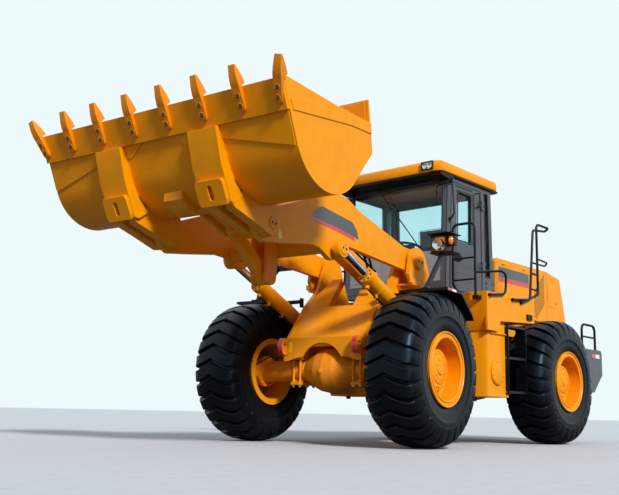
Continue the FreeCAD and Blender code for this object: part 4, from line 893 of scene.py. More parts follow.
def makeHeadlamp(side):
    label = "left" if side > 0 else "right"
    low, high, rim = lampForm["low"], lampForm["high"], lampForm["rim"]
    front = high[0]

    def facing(a, b, depth):
        return Vector((depth, side * a, b))

    bm = bmesh.new()
    outer = [(low[1], low[2]), (high[1], low[2]), (high[1], high[2]), (low[1], high[2])]
    inner = [(low[1] + rim, low[2] + rim), (high[1] - rim, low[2] + rim), (high[1] - rim, high[2] - rim),
             (low[1] + rim, high[2] - rim)]
    addFrame(bm, outer, inner, front, front - lampForm["pocket"], facing)
    back = [(low[1] + 0.02, low[2] + 0.012), (high[1] - 0.02, low[2] + 0.012),
            (high[1] - 0.02, high[2] - 0.012), (low[1] + 0.02, high[2] - 0.012)]
    rings = [[bm.verts.new(facing(a, b, x)) for a, b in points] for points,
             x in ((outer, front - lampForm["pocket"] - 0.0003), (outer, front - 0.1), (back, low[0]))]
    for a, b in zip(rings, rings[1:]):
        for i in range(4):
            bm.faces.new((a[i], a[(i + 1) % 4], b[(i + 1) % 4], b[i]))
    bm.faces.new(rings[0])
    bm.faces.new(rings[-1])
    addPlate(bm, [(1.018, 2.0855), (1.3, 2.0855), (1.3, 2.0975), (1.018, 2.0975)], 1.08, 1.292, facing)
    addBox(bm, (1.1, min(side * 1.1, side * 1.2), 2.0974), (1.25, max(side * 1.1, side * 1.2), 2.1054))
    hood = [(1.01, 2.293), (1.212, 2.3), (1.3, 2.292), (1.3, 2.303), (1.212, 2.313), (1.01, 2.306)]
    addPlate(bm, hood, 1.075, 1.318, facing)
    addPlate(bm, [(1.02, 2.287), (1.212, 2.287), (1.212, 2.301), (1.02, 2.296)], 1.12, 1.25, facing)
    addPlate(bm, [(1.2085, 2.172), (1.236, 2.172), (1.236, 2.272), (1.2085, 2.272)], 1.15, 1.262, facing)
    obj = finishMesh(bm, "headlampHousing_" + label, "front_frame", blackPlastic, bevel=0.003)
    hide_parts("headlamps")
    bm = bmesh.new()
    plate = [(a, b) for a, b in inner]
    addPlate(bm, plate, front - 0.05, front - 0.048, facing)
    for y, z, radius in ((1.094, 2.198, 0.056), (1.17, 2.15, 0.016)):
        bowl = [(0.007, -0.04), (0.022, -0.034), (radius, -0.016), (radius + 0.004, -0.014), (radius, -0.02),
                (0.007, -0.046)]
        addTurned(bm, bowl, (front, side * y, z), (1, 0, 0), steps=32, closed=True)
        addTurned(bm, [(0.0, -0.046), (0.008, -0.044), (0.008, -0.022), (0.0, -0.018)],
                  (front, side * y, z), (1, 0, 0), steps=16)
    for k in range(5):
        z = 2.18 + 0.0225 * k
        addPlate(bm, [(1.041, z), (1.189, z), (1.189, z + 0.003), (1.041, z + 0.003)], front - 0.05,
                 front - 0.04, facing)
    obj = finishMesh(bm, "headlampReflector_" + label, "front_frame", lampSilver, sharp=50.0)
    bm = bmesh.new()
    rows = []
    for depth in (0.0, 0.004):
        for i in range(7):
            row = []
            for k in range(7):
                a = low[1] + rim + 0.0006 + (high[1] - low[1] - 2.0 * rim - 0.0012) * i / 6.0
                b = low[2] + rim + 0.0006 + (high[2] - low[2] - 2.0 * rim - 0.0012) * k / 6.0
                dome = 0.009 * (1.0 - ((i - 3) / 3.0) ** 2) * (1.0 - ((k - 3) / 3.0) ** 2)
                row.append(bm.verts.new(facing(a, b, front - 0.01 + depth + dome)))
            rows.append(row)
    back, face = rows[:7], rows[7:]
    for i in range(6):
        for k in range(6):
            for grid in (back, face):
                bm.faces.new((grid[i][k], grid[i][k + 1], grid[i + 1][k + 1], grid[i + 1][k]))
        for edge in (0, 6):
            bm.faces.new((back[i][edge], back[i + 1][edge], face[i + 1][edge], face[i][edge]))
            bm.faces.new((back[edge][i], back[edge][i + 1], face[edge][i + 1], face[edge][i]))
    obj = finishMesh(bm, "headlampLens_" + label, "front_frame", clearLens)
    bm = bmesh.new()
    signal = [(0.0, 0.03), (0.018, 0.028), (0.034, 0.018), (0.04, 0.004), (0.04, 0.0), (0.0, 0.0)]
    mesh = bmesh.new()
    addTurned(mesh, signal, (0, 0, 0), (1, 0, 0), steps=24)
    spread = Matrix.Translation((1.236, side * 1.252, 2.222)) @ Matrix.Diagonal((1.0, 0.8, 1.3, 1.0))
    mesh.transform(spread)
    finishMesh(mesh, "turnSignal_" + label, "front_frame", lampOrange, sharp=40.0)
    y = sorted((side * 1.2362, side * 1.292))
    addBox(bm, (1.165, y[0], 2.172), (1.2358, y[1], 2.272))
    finishMesh(bm, "turnSignalBack_" + label, "front_frame", blackPlastic, bevel=0.004)
    # post with foot plate on the fender
    bm = bmesh.new()
    foot = (1.612, 1.6475)
    head = (1.235, 2.0855)
    post = [(foot[0] - 0.034, foot[1]), (foot[0] + 0.03, foot[1]), (head[0] + 0.03, head[1]),
            (head[0] - 0.034, head[1])]
    addFrame(bm, post, [(foot[0] - 0.012, foot[1] + 0.03), (foot[0] + 0.006, foot[1] + 0.03),
                        (head[0] + 0.008, head[1] - 0.03), (head[0] - 0.012, head[1] - 0.03)],
             side * 1.13, side * 1.136, sideView)
    addPlate(bm, post, side * 1.136, side * 1.164, sideView)
    addPlate(bm, [(foot[0] - 0.075, foot[1] - 0.0035), (foot[0] + 0.045, foot[1] + 0.0005),
                  (foot[0] + 0.045, foot[1] + 0.0095), (foot[0] - 0.075, foot[1] + 0.0055)], side * 1.09,
             side * 1.205, sideView)
    obj = finishMesh(bm, "lampPost_" + label, "front_frame", blackPaint, bevel=0.0025)
    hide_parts("lamp_posts")
    places = [((foot[0] + dx, side * y, foot[1] + 0.0085 + dx * 0.04), (0, 0, 1)) for dx in (-0.055, 0.03)
              for y in (1.105, 1.19)]
    boltPiece("lampPostBolts_" + label, "front_frame", places, 0.0075, zincBolt)


for side in (1, -1):
    makeHeadlamp(side)
print("fenders and headlamps made")

# Paint bands without words: a two-tone band on each boom arm and on each hood side, blank tags
def addSkin(bm, points, y, side, thick=0.0012):
    addPlate(bm, points, side * y, side * (y + thick), sideView)


bandForm = {"boomDark": [(3.0, 2.236), (2.89, 2.33), (2.805, 2.362), (2.262, 2.302), (2.175, 2.232),
                         (2.135, 2.135), (2.235, 2.15), (2.33, 2.168), (2.52, 2.19), (2.8, 2.212)],
            "boomRed": [(3.11, 2.214), (3.0, 2.2365), (2.8, 2.2125), (2.52, 2.1905), (2.33, 2.1685),
                        (2.235, 2.1505), (2.2, 2.106), (2.33, 2.128), (2.52, 2.15), (2.79, 2.172),
                        (2.96, 2.19)], "hoodDark": [(-1.372, 2.352), (-2.242, 2.352), (-2.242, 2.2122),
                                                    (-1.372, 2.2122)],
            "hoodRed": [(-1.372, 2.2118), (-2.242, 2.2118), (-2.242, 2.15), (-1.372, 2.15)],}
for side, label in sides:
    for key, material, body, y in (("boomDark", stripeDark, "boom", boomSide),
                                   ("boomRed", stripeRed, "boom", boomSide),
                                   ("hoodDark", stripeDark, "rear_frame", hoodSide),
                                   ("hoodRed", stripeRed, "rear_frame", hoodSide)):
        bm = bmesh.new()
        addSkin(bm, bandForm[key], y, side)
        finishMesh(bm, key + "Band_" + label, body, material)
    bm = bmesh.new()
    addSkin(bm, [(3.565, 2.05), (3.52, 2.07), (3.445, 1.932), (3.49, 1.912)], boomSide, side, 0.001)
    finishMesh(bm, "blankTag_" + label, "boom", blankYellow)

# Cab front panel and door skin with their rubber seals
cabForm = {
    "door": [(-0.476, 2.15), (0.154, 2.15), (0.0995, 3.132), (-0.456, 3.132)],
    "window": [(-0.3, 2.45), (0.06, 2.45), (0.04, 3.112), (-0.312, 3.112)],
}


def inset(points, by):
    middle = [sum(p[k] for p in points) / len(points) for k in (0, 1)]
    moved = []
    for a, b in points:
        moved.append((a + math.copysign(by, middle[0] - a), b + math.copysign(by, middle[1] - b)))
    return moved


bm = bmesh.new()
addFrame(bm, inset(cabForm["door"], 0.0008), cabForm["window"], 0.7568, 0.779, sideView)
addFrame(bm, inset(cabForm["door"], 0.0008), cabForm["window"], 0.721, 0.743, sideView)
addBox(bm, (-0.5, cabSide, 2.06), (0.19, 0.7835, 2.068))
finishMesh(bm, "doorSkin", "door", greyPaint, bevel=0.0015)
bm = bmesh.new()
addFrame(bm, inset(cabForm["window"], -0.028), inset(cabForm["window"], 0.006), 0.7792, 0.785, sideView)
addFrame(bm, inset(cabForm["window"], -0.004), inset(cabForm["window"], 0.012), 0.743, 0.7568, sideView)
addPlate(bm, [(-0.378, 2.44), (-0.3285, 2.44), (-0.341, 3.12), (-0.385, 3.12)], 0.7792, 0.7822, sideView)
addPlate(bm, [(-0.3275, 3.141), (0.069, 3.141), (0.069, 3.17), (-0.3275, 3.17)], cabSide, 0.7822, sideView)
finishMesh(bm, "doorWindowSeal", "door", hoseRubber, bevel=0.0015)
# seal round the door opening, on the cab
bm = bmesh.new()
opening = [(-0.545, 1.8335), (0.234, 1.8335), (0.168, 3.196), (-0.525, 3.196)]
addFrame(bm, inset(opening, -0.01), inset(opening, 0.0005), cabSide, 0.7835, sideView)
finishMesh(bm, "doorOpeningSeal", "rear_frame", hoseRubber, bevel=0.001)
# door latch, outside handle and inside bar
bm = bmesh.new()
addBox(bm, (-0.02, cabSide, 2.196), (0.11, 0.784, 2.286))
addTube(bm, roundPath([(0.005, 0.784, 2.215), (0.005, 0.822, 2.215), (0.005, 0.822, 2.268),
                       (0.005, 0.784, 2.268)], 0.02), 0.007)
addTurned(bm, [(0.0, 0.0), (0.014, 0.0), (0.014, 0.008), (0.0, 0.01)], (0.07, 0.784, 2.241), (0, 1, 0),
          steps=24)
finishMesh(bm, "doorLatch", "door", blackPlastic, bevel=0.0015)
bm = bmesh.new()
addRail(bm, [(-0.42, 0.779, 2.96), (-0.42, 0.835, 2.96), (-0.42, 0.835, 3.145), (-0.42, 0.779, 3.145)],
        0.009, 0.03)
finishMesh(bm, "doorPull", "door", blackPlastic)
bm = bmesh.new()
addRail(bm, [(-0.395, 0.72, 2.3), (-0.395, 0.66, 2.3), (0.08, 0.66, 2.36), (0.08, 0.72, 2.36)], 0.01, 0.04)
finishMesh(bm, "doorInnerBar", "door", blackPlastic)

# Front lower panel, dark bands round the windscreen, sealing strips on every fixed window
def onFront(a, b, depth):
    slant = (b - 1.79) / (3.268 - 1.79) * 0.066
    return Vector((0.306 - slant + depth, a, b))


bm = bmesh.new()
addPlate(bm, [(-0.708, 1.942), (0.708, 1.942), (0.708, 2.3), (0.25, 2.345), (-0.25, 2.345), (-0.708, 2.3)],
         -0.026, -0.012, onFront)
for y in (-0.45, 0.0, 0.45):
    addPlate(bm, [(y - 0.18, 1.985), (y + 0.18, 1.985), (y + 0.18, 2.255), (y - 0.18, 2.255)], -0.0119,
             -0.008, onFront)
finishMesh(bm, "cabFrontPanel", "rear_frame", cabGrey, bevel=0.002)
bm = bmesh.new()
pane = [(-0.7085, 2.3), (0.7085, 2.3), (0.7085, 3.197), (-0.7085, 3.197)]
addFrame(bm, pane, inset(pane, 0.03), -0.0305, -0.022, onFront)
addFrame(bm, [(-0.775, 1.835), (0.775, 1.835), (0.775, 3.262), (-0.775, 3.262)],
         [(-0.765, 1.845), (0.765, 1.845), (0.765, 3.252), (-0.765, 3.252)], 0.0003, 0.003, onFront)
finishMesh(bm, "windscreenSeal", "rear_frame", hoseRubber, bevel=0.001)
bm = bmesh.new()
for side in (1, -1):
    pane = [(-0.7545, 2.082), (-0.631, 2.082), (-0.619, 3.197), (-0.718, 3.197)]
    addFrame(bm, pane, inset(pane, 0.014), side * 0.748, side * 0.783, sideView)
    if side < 0:
        pane = [(-0.554, 2.082), (0.221, 2.082), (0.171, 3.197), (-0.537, 3.197)]
        addFrame(bm, pane, inset(pane, 0.022), side * 0.748, side * 0.783, sideView)
finishMesh(bm, "sideWindowSeals", "rear_frame", hoseRubber, bevel=0.0015)
bm = bmesh.new()
rear = [(-0.7085, 2.302), (0.7085, 2.302), (0.7085, 3.197), (-0.7085, 3.197)]
addFrame(bm, rear, inset(rear, 0.022), -0.838, -0.79,
         lambda a, b, depth: Vector((depth + (b - 2.302) * 0.033, a, b)))
finishMesh(bm, "rearWindowSeal", "rear_frame", hoseRubber, bevel=0.0015)
# cab panel lines and lower sill with hold-down bolts
bm = bmesh.new()
for side in (1, -1):
    for x0, x1, z0, z1 in ((-0.836, -0.634, 1.905, 2.035), (-0.836, -0.634, 2.052, 2.058)):
        addPlate(bm, [(x0, z0), (x1, z0), (x1, z1), (x0, z1)], side * cabSide, side * 0.7822, sideView)
    addPlate(bm, [(-0.828, 1.915), (-0.642, 1.915), (-0.642, 2.025), (-0.828, 2.025)], side * 0.7824,
             side * 0.7844, sideView)
addBox(bm, (-0.56, -0.7824, 1.88), (0.22, -cabSide, 2.04))
finishMesh(bm, "cabLowerPanels", "rear_frame", greyPaint, bevel=0.001)
bolts = []
for side in (1, -1):
    bolts += [((x, side * 0.7846, z), (0, side, 0)) for x in (-0.815, -0.655) for z in (1.93, 2.01)]
    bolts += [((x, side * cabSide, 1.812), (0, side, 0)) for x in (-0.8, -0.45, -0.1, 0.25)]
boltPiece("cabSillBolts", "rear_frame", bolts, 0.008, blackPaint)
# wiper: spindle box, arm and blade
bm = bmesh.new()
addPlate(bm, [(-0.33, 3.205), (-0.19, 3.205), (-0.19, 3.255), (-0.33, 3.255)], 0.0005, 0.03, onFront)
pivot = onFront(-0.26, 3.215, 0.03)
tip = onFront(0.2, 2.62, 0.022)
addTube(bm, [onFront(-0.26, 3.215, 0.0), pivot], 0.012)
addTube(bm, [pivot, pivot.lerp(tip, 0.4) + Vector((0.015, 0, 0)), tip], 0.006, sides=8)
blade = (tip - pivot).normalized() * 0.27
addPlate(bm, [(-0.004, -0.01), (0.004, -0.01), (0.004, 0.01), (-0.004, 0.01)], -1.0, 1.0,
         lambda a, b, depth: tip + blade * depth + Vector((-0.004 + b, a, 0.0)))
finishMesh(bm, "wiper", "rear_frame", blackPlastic)
print("cab trim made")

# Lofts a closed outline through sections of equal count and caps both ends
def addLoft(bm, sections):
    rings = [[bm.verts.new(Vector(p)) for p in section] for section in sections]
    for low, high in zip(rings, rings[1:]):
        for i in range(len(low)):
            k = (i + 1) % len(low)
            bm.faces.new((low[i], low[k], high[k], high[i]))
    bm.faces.new(list(reversed(rings[0])))
    bm.faces.new(rings[-1])


# Cab roof: moulded cap with chamfered rim, raised middle and corner caps, over a black visor band
roofForm = {"rear": -0.94, "front": 0.464, "half": 0.82, "foot": 3.2685}


def roofRing(grow, z, tilt=0.0):
    x0, x1, half = roofForm["rear"] - grow, roofForm["front"] + grow, roofForm["half"] + grow
    cut = 0.055
    points = [(x0 + cut, -half), (x1 - cut, -half), (x1, -half + cut * 1.6), (x1, half - cut * 1.6),
              (x1 - cut, half), (x0 + cut, half), (x0, half - cut), (x0, -half + cut)]
    return [(a, b, z + tilt * (x1 - a)) for a, b in points]


bm = bmesh.new()
addLoft(bm, [roofRing(-0.004, roofForm["foot"]), roofRing(0.0, 3.276), roofRing(0.0, 3.352, -0.002),
             roofRing(-0.014, 3.392, -0.004), roofRing(-0.055, 3.42, -0.014), roofRing(-0.09, 3.428, -0.016)])
addLoft(bm, [[(x, y, z) for x, y in ((-0.7, -0.52), (0.26, -0.58), (0.26, 0.58), (-0.7, 0.52))]
             for z in (3.405,)] + [[(x, y, z) for x, y in ((-0.66, -0.48), (0.22, -0.54), (0.22, 0.54),
                                                           (-0.66, 0.48))] for z in (3.4375,)])
obj = finishMesh(bm, "roofCap", "rear_frame", yellowPaint, bevel=0.005)
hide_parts("cab_roof")
bm = bmesh.new()
visor = [(0.2405, 3.205), (0.448, 3.238), (0.452, 3.268), (0.2405, 3.268)]
addPlate(bm, visor, -0.64, 0.64, sideView)
corner = [(0.2405, 3.19), (0.42, 3.214), (0.452, 3.268), (0.2405, 3.268)]
for side in (1, -1):
    addPlate(bm, corner, side * 0.6405, side * 0.805, sideView)
    addPlate(bm, [(0.16, 3.217), (0.24, 3.217), (0.24, 3.268), (0.12, 3.268)], side * 0.7805, side * 0.805,
             sideView)
    addPlate(bm, [(-0.93, 3.246), (0.119, 3.246), (0.119, 3.268), (-0.93, 3.268)], side * 0.7805,
             side * 0.812, sideView)
addBox(bm, (-0.93, -0.78, 3.24), (-0.7905, 0.78, 3.268))
finishMesh(bm, "roofVisor", "rear_frame", blackPlastic, bevel=0.003)
bolts = []
for x, y in ((0.3, 0.66), (-0.1, 0.72), (-0.55, 0.72), (-0.84, 0.6), (0.3, -0.66), (-0.1, -0.72),
             (-0.55, -0.72), (-0.84, -0.6)):
    bolts.append(((x, y, 3.4155), (0, 0, 1)))
boltPiece("roofBolts", "rear_frame", bolts, 0.014, zincBolt)
# roof work lamps in the front corners
for side, label in sides:

    def facing(a, b, depth):
        return Vector((depth, side * a, b))

    bm = bmesh.new()
    outer = [(0.545, 3.29), (0.715, 3.29), (0.715, 3.395), (0.545, 3.395)]
    inner = [(0.558, 3.302), (0.702, 3.302), (0.702, 3.383), (0.558, 3.383)]
    addFrame(bm, outer, inner, 0.4643, 0.488, facing)
    obj = finishMesh(bm, "roofLampFrame_" + label, "rear_frame", blackPlastic, bevel=0.003)
    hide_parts("headlights_roof")
    bm = bmesh.new()
    addPlate(bm, inset(inner, 0.0004), 0.4643, 0.466, facing)
    for y in (0.595, 0.665):
        addTurned(bm, [(0.006, 0.0), (0.024, 0.006), (0.031, 0.013), (0.033, 0.013), (0.026, 0.002),
                       (0.006, -0.002)], (0.468, side * y, 3.3425), (1, 0, 0), steps=24, closed=True)
    finishMesh(bm, "roofLampBowl_" + label, "rear_frame", lampSilver, sharp=50.0)
    bm = bmesh.new()
    addPlate(bm, inset(inner, 0.0006), 0.4845, 0.487, facing)
    finishMesh(bm, "roofLampLens_" + label, "rear_frame", clearLens)

# Bare bent arms at the front posts, as the photograph shows them
for side, label in sides:
    bm = bmesh.new()
    addRail(bm, [(0.2, side * 0.7803, 3.165), (0.27, side * 0.86, 3.205), (0.27, side * 0.88, 2.74),
                 (0.215, side * 0.7803, 2.69)], 0.01, 0.04)
    addRail(bm, [(0.268, side * 0.862, 3.15), (0.285, side * 0.64, 3.13), (0.285, side * 0.64, 2.9)], 0.008,
            0.05)
    for z in (3.165, 2.69):
        addBox(bm, (0.19, min(side * 0.7803, side * 0.7903), z - 0.03),
               (0.228, max(side * 0.7803, side * 0.7903), z + 0.03))
    finishMesh(bm, "mirrorArm_" + label, "rear_frame", blackPaint)

# Deck side panels with a slanted foot, tank, ladder and step box, rails: both sides alike
deckForm = {"panel": [(0.16, 1.7895), (0.16, 1.49), (0.15, 1.33), (-0.11, 1.33), (-0.15, 1.455),
                      (-1.02, 1.5), (-1.02, 1.7895)], "skirt": [(0.16, 1.7595), (0.16, 1.5), (0.1, 1.33),
                                                                (0.088, 1.33), (0.13, 1.506),
                                                                (0.13, 1.7595)],
            "tankPlan": [(-0.42, 0.5205), (-0.2, 0.5205), (0.088, 0.76), (0.088, 1.15), (0.06, 1.195),
                         (-0.42, 1.195)], "steps": (0.642, 1.048, 1.431), "ladderX": (-0.34, -0.8),
            "ladderY": (1.1, 1.243),}


def makeSide(side):
    label = "left" if side > 0 else "right"

    def out(x, y, z):
        return Vector((x, side * y, z))

    def sideBox(bm, low, high):
        ys = sorted((side * low[1], side * high[1]))
        addBox(bm, (low[0], ys[0], low[2]), (high[0], ys[1], high[2]))

    bm = bmesh.new()
    addPlate(bm, deckForm["panel"], side * 1.22, side * 1.25, sideView)
    addPlate(bm, deckForm["skirt"], side * 0.86, side * 1.2199, sideView)
    addPlate(bm, [(-1.02, 1.76), (0.16, 1.76), (0.16, 1.7895), (-1.02, 1.7895)], side * 0.86, side * 1.2199,
             sideView)
    addPlate(bm, [(-1.4, 1.76), (0.09, 1.76), (0.09, 1.7892), (-1.4, 1.7892)], side * 0.5203, side * 0.8597,
             sideView)
    sideBox(bm, (-1.02, 0.5203, 1.5), (-0.99, 1.2199, 1.7598))
    obj = finishMesh(bm, "deckBody_" + label, "rear_frame", yellowPaint, bevel=0.004)
    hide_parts("side_decks")
    # tread plate strips on the deck
    bm = bmesh.new()
    for i in range(17):
        x = 0.1 - 0.066 * i
        sideBox(bm, (x - 0.018, 0.88, 1.7896), (x + 0.018, 1.2, 1.7926))
    finishMesh(bm, "deckTread_" + label, "rear_frame", blackPaint)
    bm = bmesh.new()
    plan = deckForm["tankPlan"]
    addLoft(bm, [[out(x, y, z) for x, y in plan] for z in (0.56, 1.759)])
    addTurned(bm, [(0.0, 0.0), (0.15, 0.0), (0.15, 0.02), (0.142, 0.024), (0.0, 0.024)],
              out(-0.14, 1.1951, 0.85), (0, side, 0), steps=48)
    sideBox(bm, (-0.419, 0.6, 1.3), (0.02, 1.219, 1.318))
    obj = finishMesh(bm, "tankBody_" + label, "rear_frame", yellowPaint, bevel=0.008)
    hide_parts("side_tanks")
    boltPiece("tankCoverBolts_" + label, "rear_frame", ringPlaces(out(-0.14, 1.2191, 0.85), (0, side, 0),
            0.13, 12), 0.009, yellowPaint)
    bm = bmesh.new()
    addTurned(bm, [(0.0, 0.0), (0.03, 0.0), (0.03, 0.03), (0.018, 0.036), (0.0, 0.036)],
              out(-0.02, 0.95, 0.56), (0, 0, -1), steps=24)
    addTurned(bm, [(0.0, 0.0), (0.045, 0.0), (0.045, 0.04), (0.036, 0.05), (0.0, 0.052)],
              out(-0.3, 1.1951, 1.56), (0, side, 0), steps=32)
    finishMesh(bm, "tankPlugs_" + label, "rear_frame", blackPlastic, bevel=0.002)
    # step box behind the ladder, black
    bm = bmesh.new()
    sideBox(bm, (-0.79, 0.5205, 0.6), (-0.4205, 1.0, 1.49))
    sideBox(bm, (-0.76, 1.0002, 0.66), (-0.45, 1.004, 0.98))
    sideBox(bm, (-0.76, 1.0002, 1.08), (-0.45, 1.004, 1.4))
    finishMesh(bm, "stepBox_" + label, "rear_frame", blackPaint, bevel=0.004)
    x1, x0 = deckForm["ladderX"]
    y0, y1 = deckForm["ladderY"]
    bm = bmesh.new()
    for x in (x0, x1 - 0.012):
        outline = [(y0, 0.6), (y1 - 0.015, 0.6), (y1, 0.625), (y1, 1.43), (y1 - 0.015, 1.455), (y0, 1.455)]
        addPlate(bm, outline, x, x + 0.012, lambda a, b, depth: Vector((depth, side * a, b)))
        sideBox(bm, (x, 1.0, 1.0), (x + 0.012, y0 + 0.0002, 1.06))
    for x in (-0.405, -0.345):
        sideBox(bm, (x, 1.12, 1.455), (x + 0.03, 1.16, 1.52))
    for top in deckForm["steps"]:
        addPlate(bm, [(y0 + 0.004, top - 0.03), (y1 - 0.006, top - 0.03), (y1 - 0.006, top),
                      (y1 - 0.009, top), (y1 - 0.009, top - 0.026), (y0 + 0.007, top - 0.026),
                      (y0 + 0.007, top), (y0 + 0.004, top)], x0 + 0.012, x1 - 0.012,
                 lambda a, b, depth: Vector((depth, side * a, b)))
        for i in range(9):
            x = x0 + 0.04 + i * 0.0475
            sideBox(bm, (x - 0.004, y0 + 0.007, top - 0.012), (x + 0.004, y1 - 0.009, top + 0.002))
        for y in (y0 + 0.045, y0 + 0.09):
            sideBox(bm, (x0 + 0.0122, y - 0.003, top - 0.01), (x1 - 0.0122, y + 0.003, top - 0.002))
    obj = finishMesh(bm, "ladder_" + label, "rear_frame", blackPaint, bevel=0.0015)
    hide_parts("ladders")
    bolts = [(out(x, y, z), (d, 0, 0)) for x, d in ((x1, 1), (x0, -1)) for z in (0.63, 1.032, 1.415)
             for y in (1.13, 1.205)]
    boltPiece("ladderBolts_" + label, "rear_frame", bolts, 0.008, zincBolt)
    # rails
    railY = 1.275
    bm = bmesh.new()
    post = [(-0.43, railY, 1.745), (-0.865, railY, 1.79), (-0.985, railY, 2.705), (-1.38, 1.25, 2.755),
            (-1.4, 1.29, 2.795), (-1.085, railY, 2.8), (-1.09, railY, 1.88), (-0.65, railY, 1.73)]
    addRail(bm, [out(*p) for p in post], 0.016, 0.06)
    addRail(bm, [out(*p) for p in ((-1.088, railY, 2.345), (-1.38, 1.27, 2.33), (-1.38, 1.235, 2.29),
                                   (-1.088, railY, 2.275))], 0.012, 0.03)
    for z in (2.275, 2.13, 1.93):
        addTube(bm, [out(-0.8835 - (z - 1.93) * 0.131, railY, z), out(-1.089, railY, z)], 0.012)
    for x, z in ((-0.43, 1.745), (-0.65, 1.73)):
        addTube(bm, [out(x, deckSide, z), out(x, railY + 0.01, z)], 0.02, sides=16)
    arch = [(0.235, 1.14, 1.715), (0.235, 1.14, 2.61), (0.235, 0.835, 2.61), (0.235, 0.835, 1.88),
            (0.165, 0.87, 1.79)]
    addRail(bm, [out(*p) for p in arch], 0.016, 0.07)
    addTube(bm, [out(0.235, 0.835, 2.19), out(0.235, 1.14, 2.19)], 0.012)
    addTube(bm, [out(0.235, 0.835, 1.93), out(0.235, 1.14, 1.93)], 0.012)
    sideBox(bm, (0.1603, 1.105, 1.69), (0.25, 1.175, 1.735))
    loop = [(0.235, 1.14, 2.01), (-0.15, railY, 2.06), (-0.262, railY, 2.035), (-0.24, railY, 1.79),
            (0.125, railY, 1.745)]
    addRail(bm, [out(*p) for p in loop], 0.015, 0.09)
    addTube(bm, [out(0.125, deckSide, 1.745), out(0.125, railY + 0.01, 1.745)], 0.02, sides=16)
    obj = finishMesh(bm, "deckRails_" + label, "rear_frame", blackPaint)
    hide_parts("handrails")
    bm = bmesh.new()
    sideBox(bm, (-0.925, deckSide, 1.53), (-0.8, 1.275, 1.6))
    finishMesh(bm, "deckSwitchBox_" + label, "rear_frame", blackPlastic, bevel=0.004)


for side in (1, -1):
    makeSide(side)
print("roof, arms, decks, ladders and rails made")

# Hood: slanted louvres, door seams, hinges, caps and rear hatch
hoodTop = 2.4652
louvre = {"count": 9, "rear": -2.72, "front": -2.4, "rise": 0.29, "low": 1.69, "pitch": 0.051, "slot": 0.027}
for side, label in sides:
    bm = bmesh.new()
    hoods = bmesh.new()
    for i in range(louvre["count"]):
        low = louvre["low"] + i * louvre["pitch"]
        lift, slot = louvre["rise"], louvre["slot"]
        # A black strip under each louvre lip is painted shade standing in for the dark opening
        addPlate(bm, [(louvre["front"], low), (louvre["front"], low + slot),
                      (louvre["rear"], low + slot + lift), (louvre["rear"], low + lift)], side * hoodSide,
                 side * 0.562, sideView)
        top = low + slot
        rows = [[(louvre["front"], top, hoodSide), (louvre["front"], top + 0.012, hoodSide),
                 (louvre["front"], top, 0.5645)], [(louvre["rear"], top + lift, hoodSide),
                                                   (louvre["rear"], top + lift + 0.012, hoodSide),
                                                   (louvre["rear"], top + lift, 0.5645)]]
        addLoft(hoods, [[Vector((x, side * y, z)) for x, z, y in row] for row in rows])
    finishMesh(bm, "louvreShadeStrips_" + label, "rear_frame", blackPlastic)
    finishMesh(hoods, "louvreHoods_" + label, "rear_frame", yellowPaint, bevel=0.001)
    bm = bmesh.new()
    for x0, x1, z0, z1 in ((-1.3, -1.3045, 1.8, 2.44), (-2.3, -2.3045, 1.62, 2.44),
                           (-2.79, -2.7945, 1.5, 2.44)):
        addPlate(bm, [(x0, z0), (x1, z0), (x1, z1), (x0, z1)], side * hoodSide, side * 0.5608, sideView)
    finishMesh(bm, "hoodSeams_" + label, "rear_frame", blackPlastic)
    bm = bmesh.new()
    panel = [(-2.835, 1.96), (-2.835, 2.25), (-2.855, 2.27), (-3.01, 2.26), (-3.03, 2.24), (-3.05, 1.975),
             (-3.03, 1.95), (-2.855, 1.94)]
    addPlate(bm, panel, side * hoodSide, side * 0.5665, sideView)
    addPlate(bm, inset(panel, 0.018), side * 0.5662, side * 0.569, sideView)
    for x in (-1.5, -2.1, -2.4):
        for z in (2.4,):
            addTube(bm, [(x - 0.045, side * 0.566, z), (x + 0.045, side * 0.566, z)], 0.008)
    finishMesh(bm, "hoodPanels_" + label, "rear_frame", yellowPaint, bevel=0.002)
    bm = bmesh.new()
    for x, z in ((-1.36, 1.98), (-2.25, 1.98), (-3.1, 2.02)):
        addTurned(bm, [(0.0, 0.0), (0.018, 0.0), (0.018, 0.006), (0.012, 0.009), (0.0, 0.009)],
                  (x, side * hoodSide, z), (0, side, 0), steps=24)
    finishMesh(bm, "hoodLatches_" + label, "rear_frame", zincBolt)
bm = bmesh.new()
for x, y, radius, high in ((-1.62, 0.22, 0.055, 0.055), (-2.2, -0.2, 0.045, 0.04)):
    addTurned(bm, [(0.0, 0.0), (radius, 0.0), (radius, high * 0.7), (radius * 0.85, high), (0.0, high)],
              (x, y, hoodTop), (0, 0, 1), steps=32)
finishMesh(bm, "hoodCaps", "rear_frame", blackPaint, bevel=0.002)
bm = bmesh.new()
for x in (-1.4, -2.45):
    for y in (-0.38, 0.38):
        addRail(bm, [(x - 0.03, y, hoodTop), (x - 0.03, y, hoodTop + 0.035), (x + 0.03, y, hoodTop + 0.035),
                     (x + 0.03, y, hoodTop)], 0.007, 0.012, sides=8)
finishMesh(bm, "hoodLiftEyes", "rear_frame", yellowPaint)

# Counterweight with cut corners, reflectors, tail lamps; rail loops on its ends
weightForm = {"top": 1.31, "half": 1.15, "rear": -3.56, "corner": 0.76}


def weightSection(y, front, rear):
    top = weightForm["top"]
    return [(front, y, 0.72), (front, y, top), (rear + 0.03, y, top), (rear, y, top - 0.04),
            (rear, y, 0.96), (rear + 0.3, y, 0.7)]


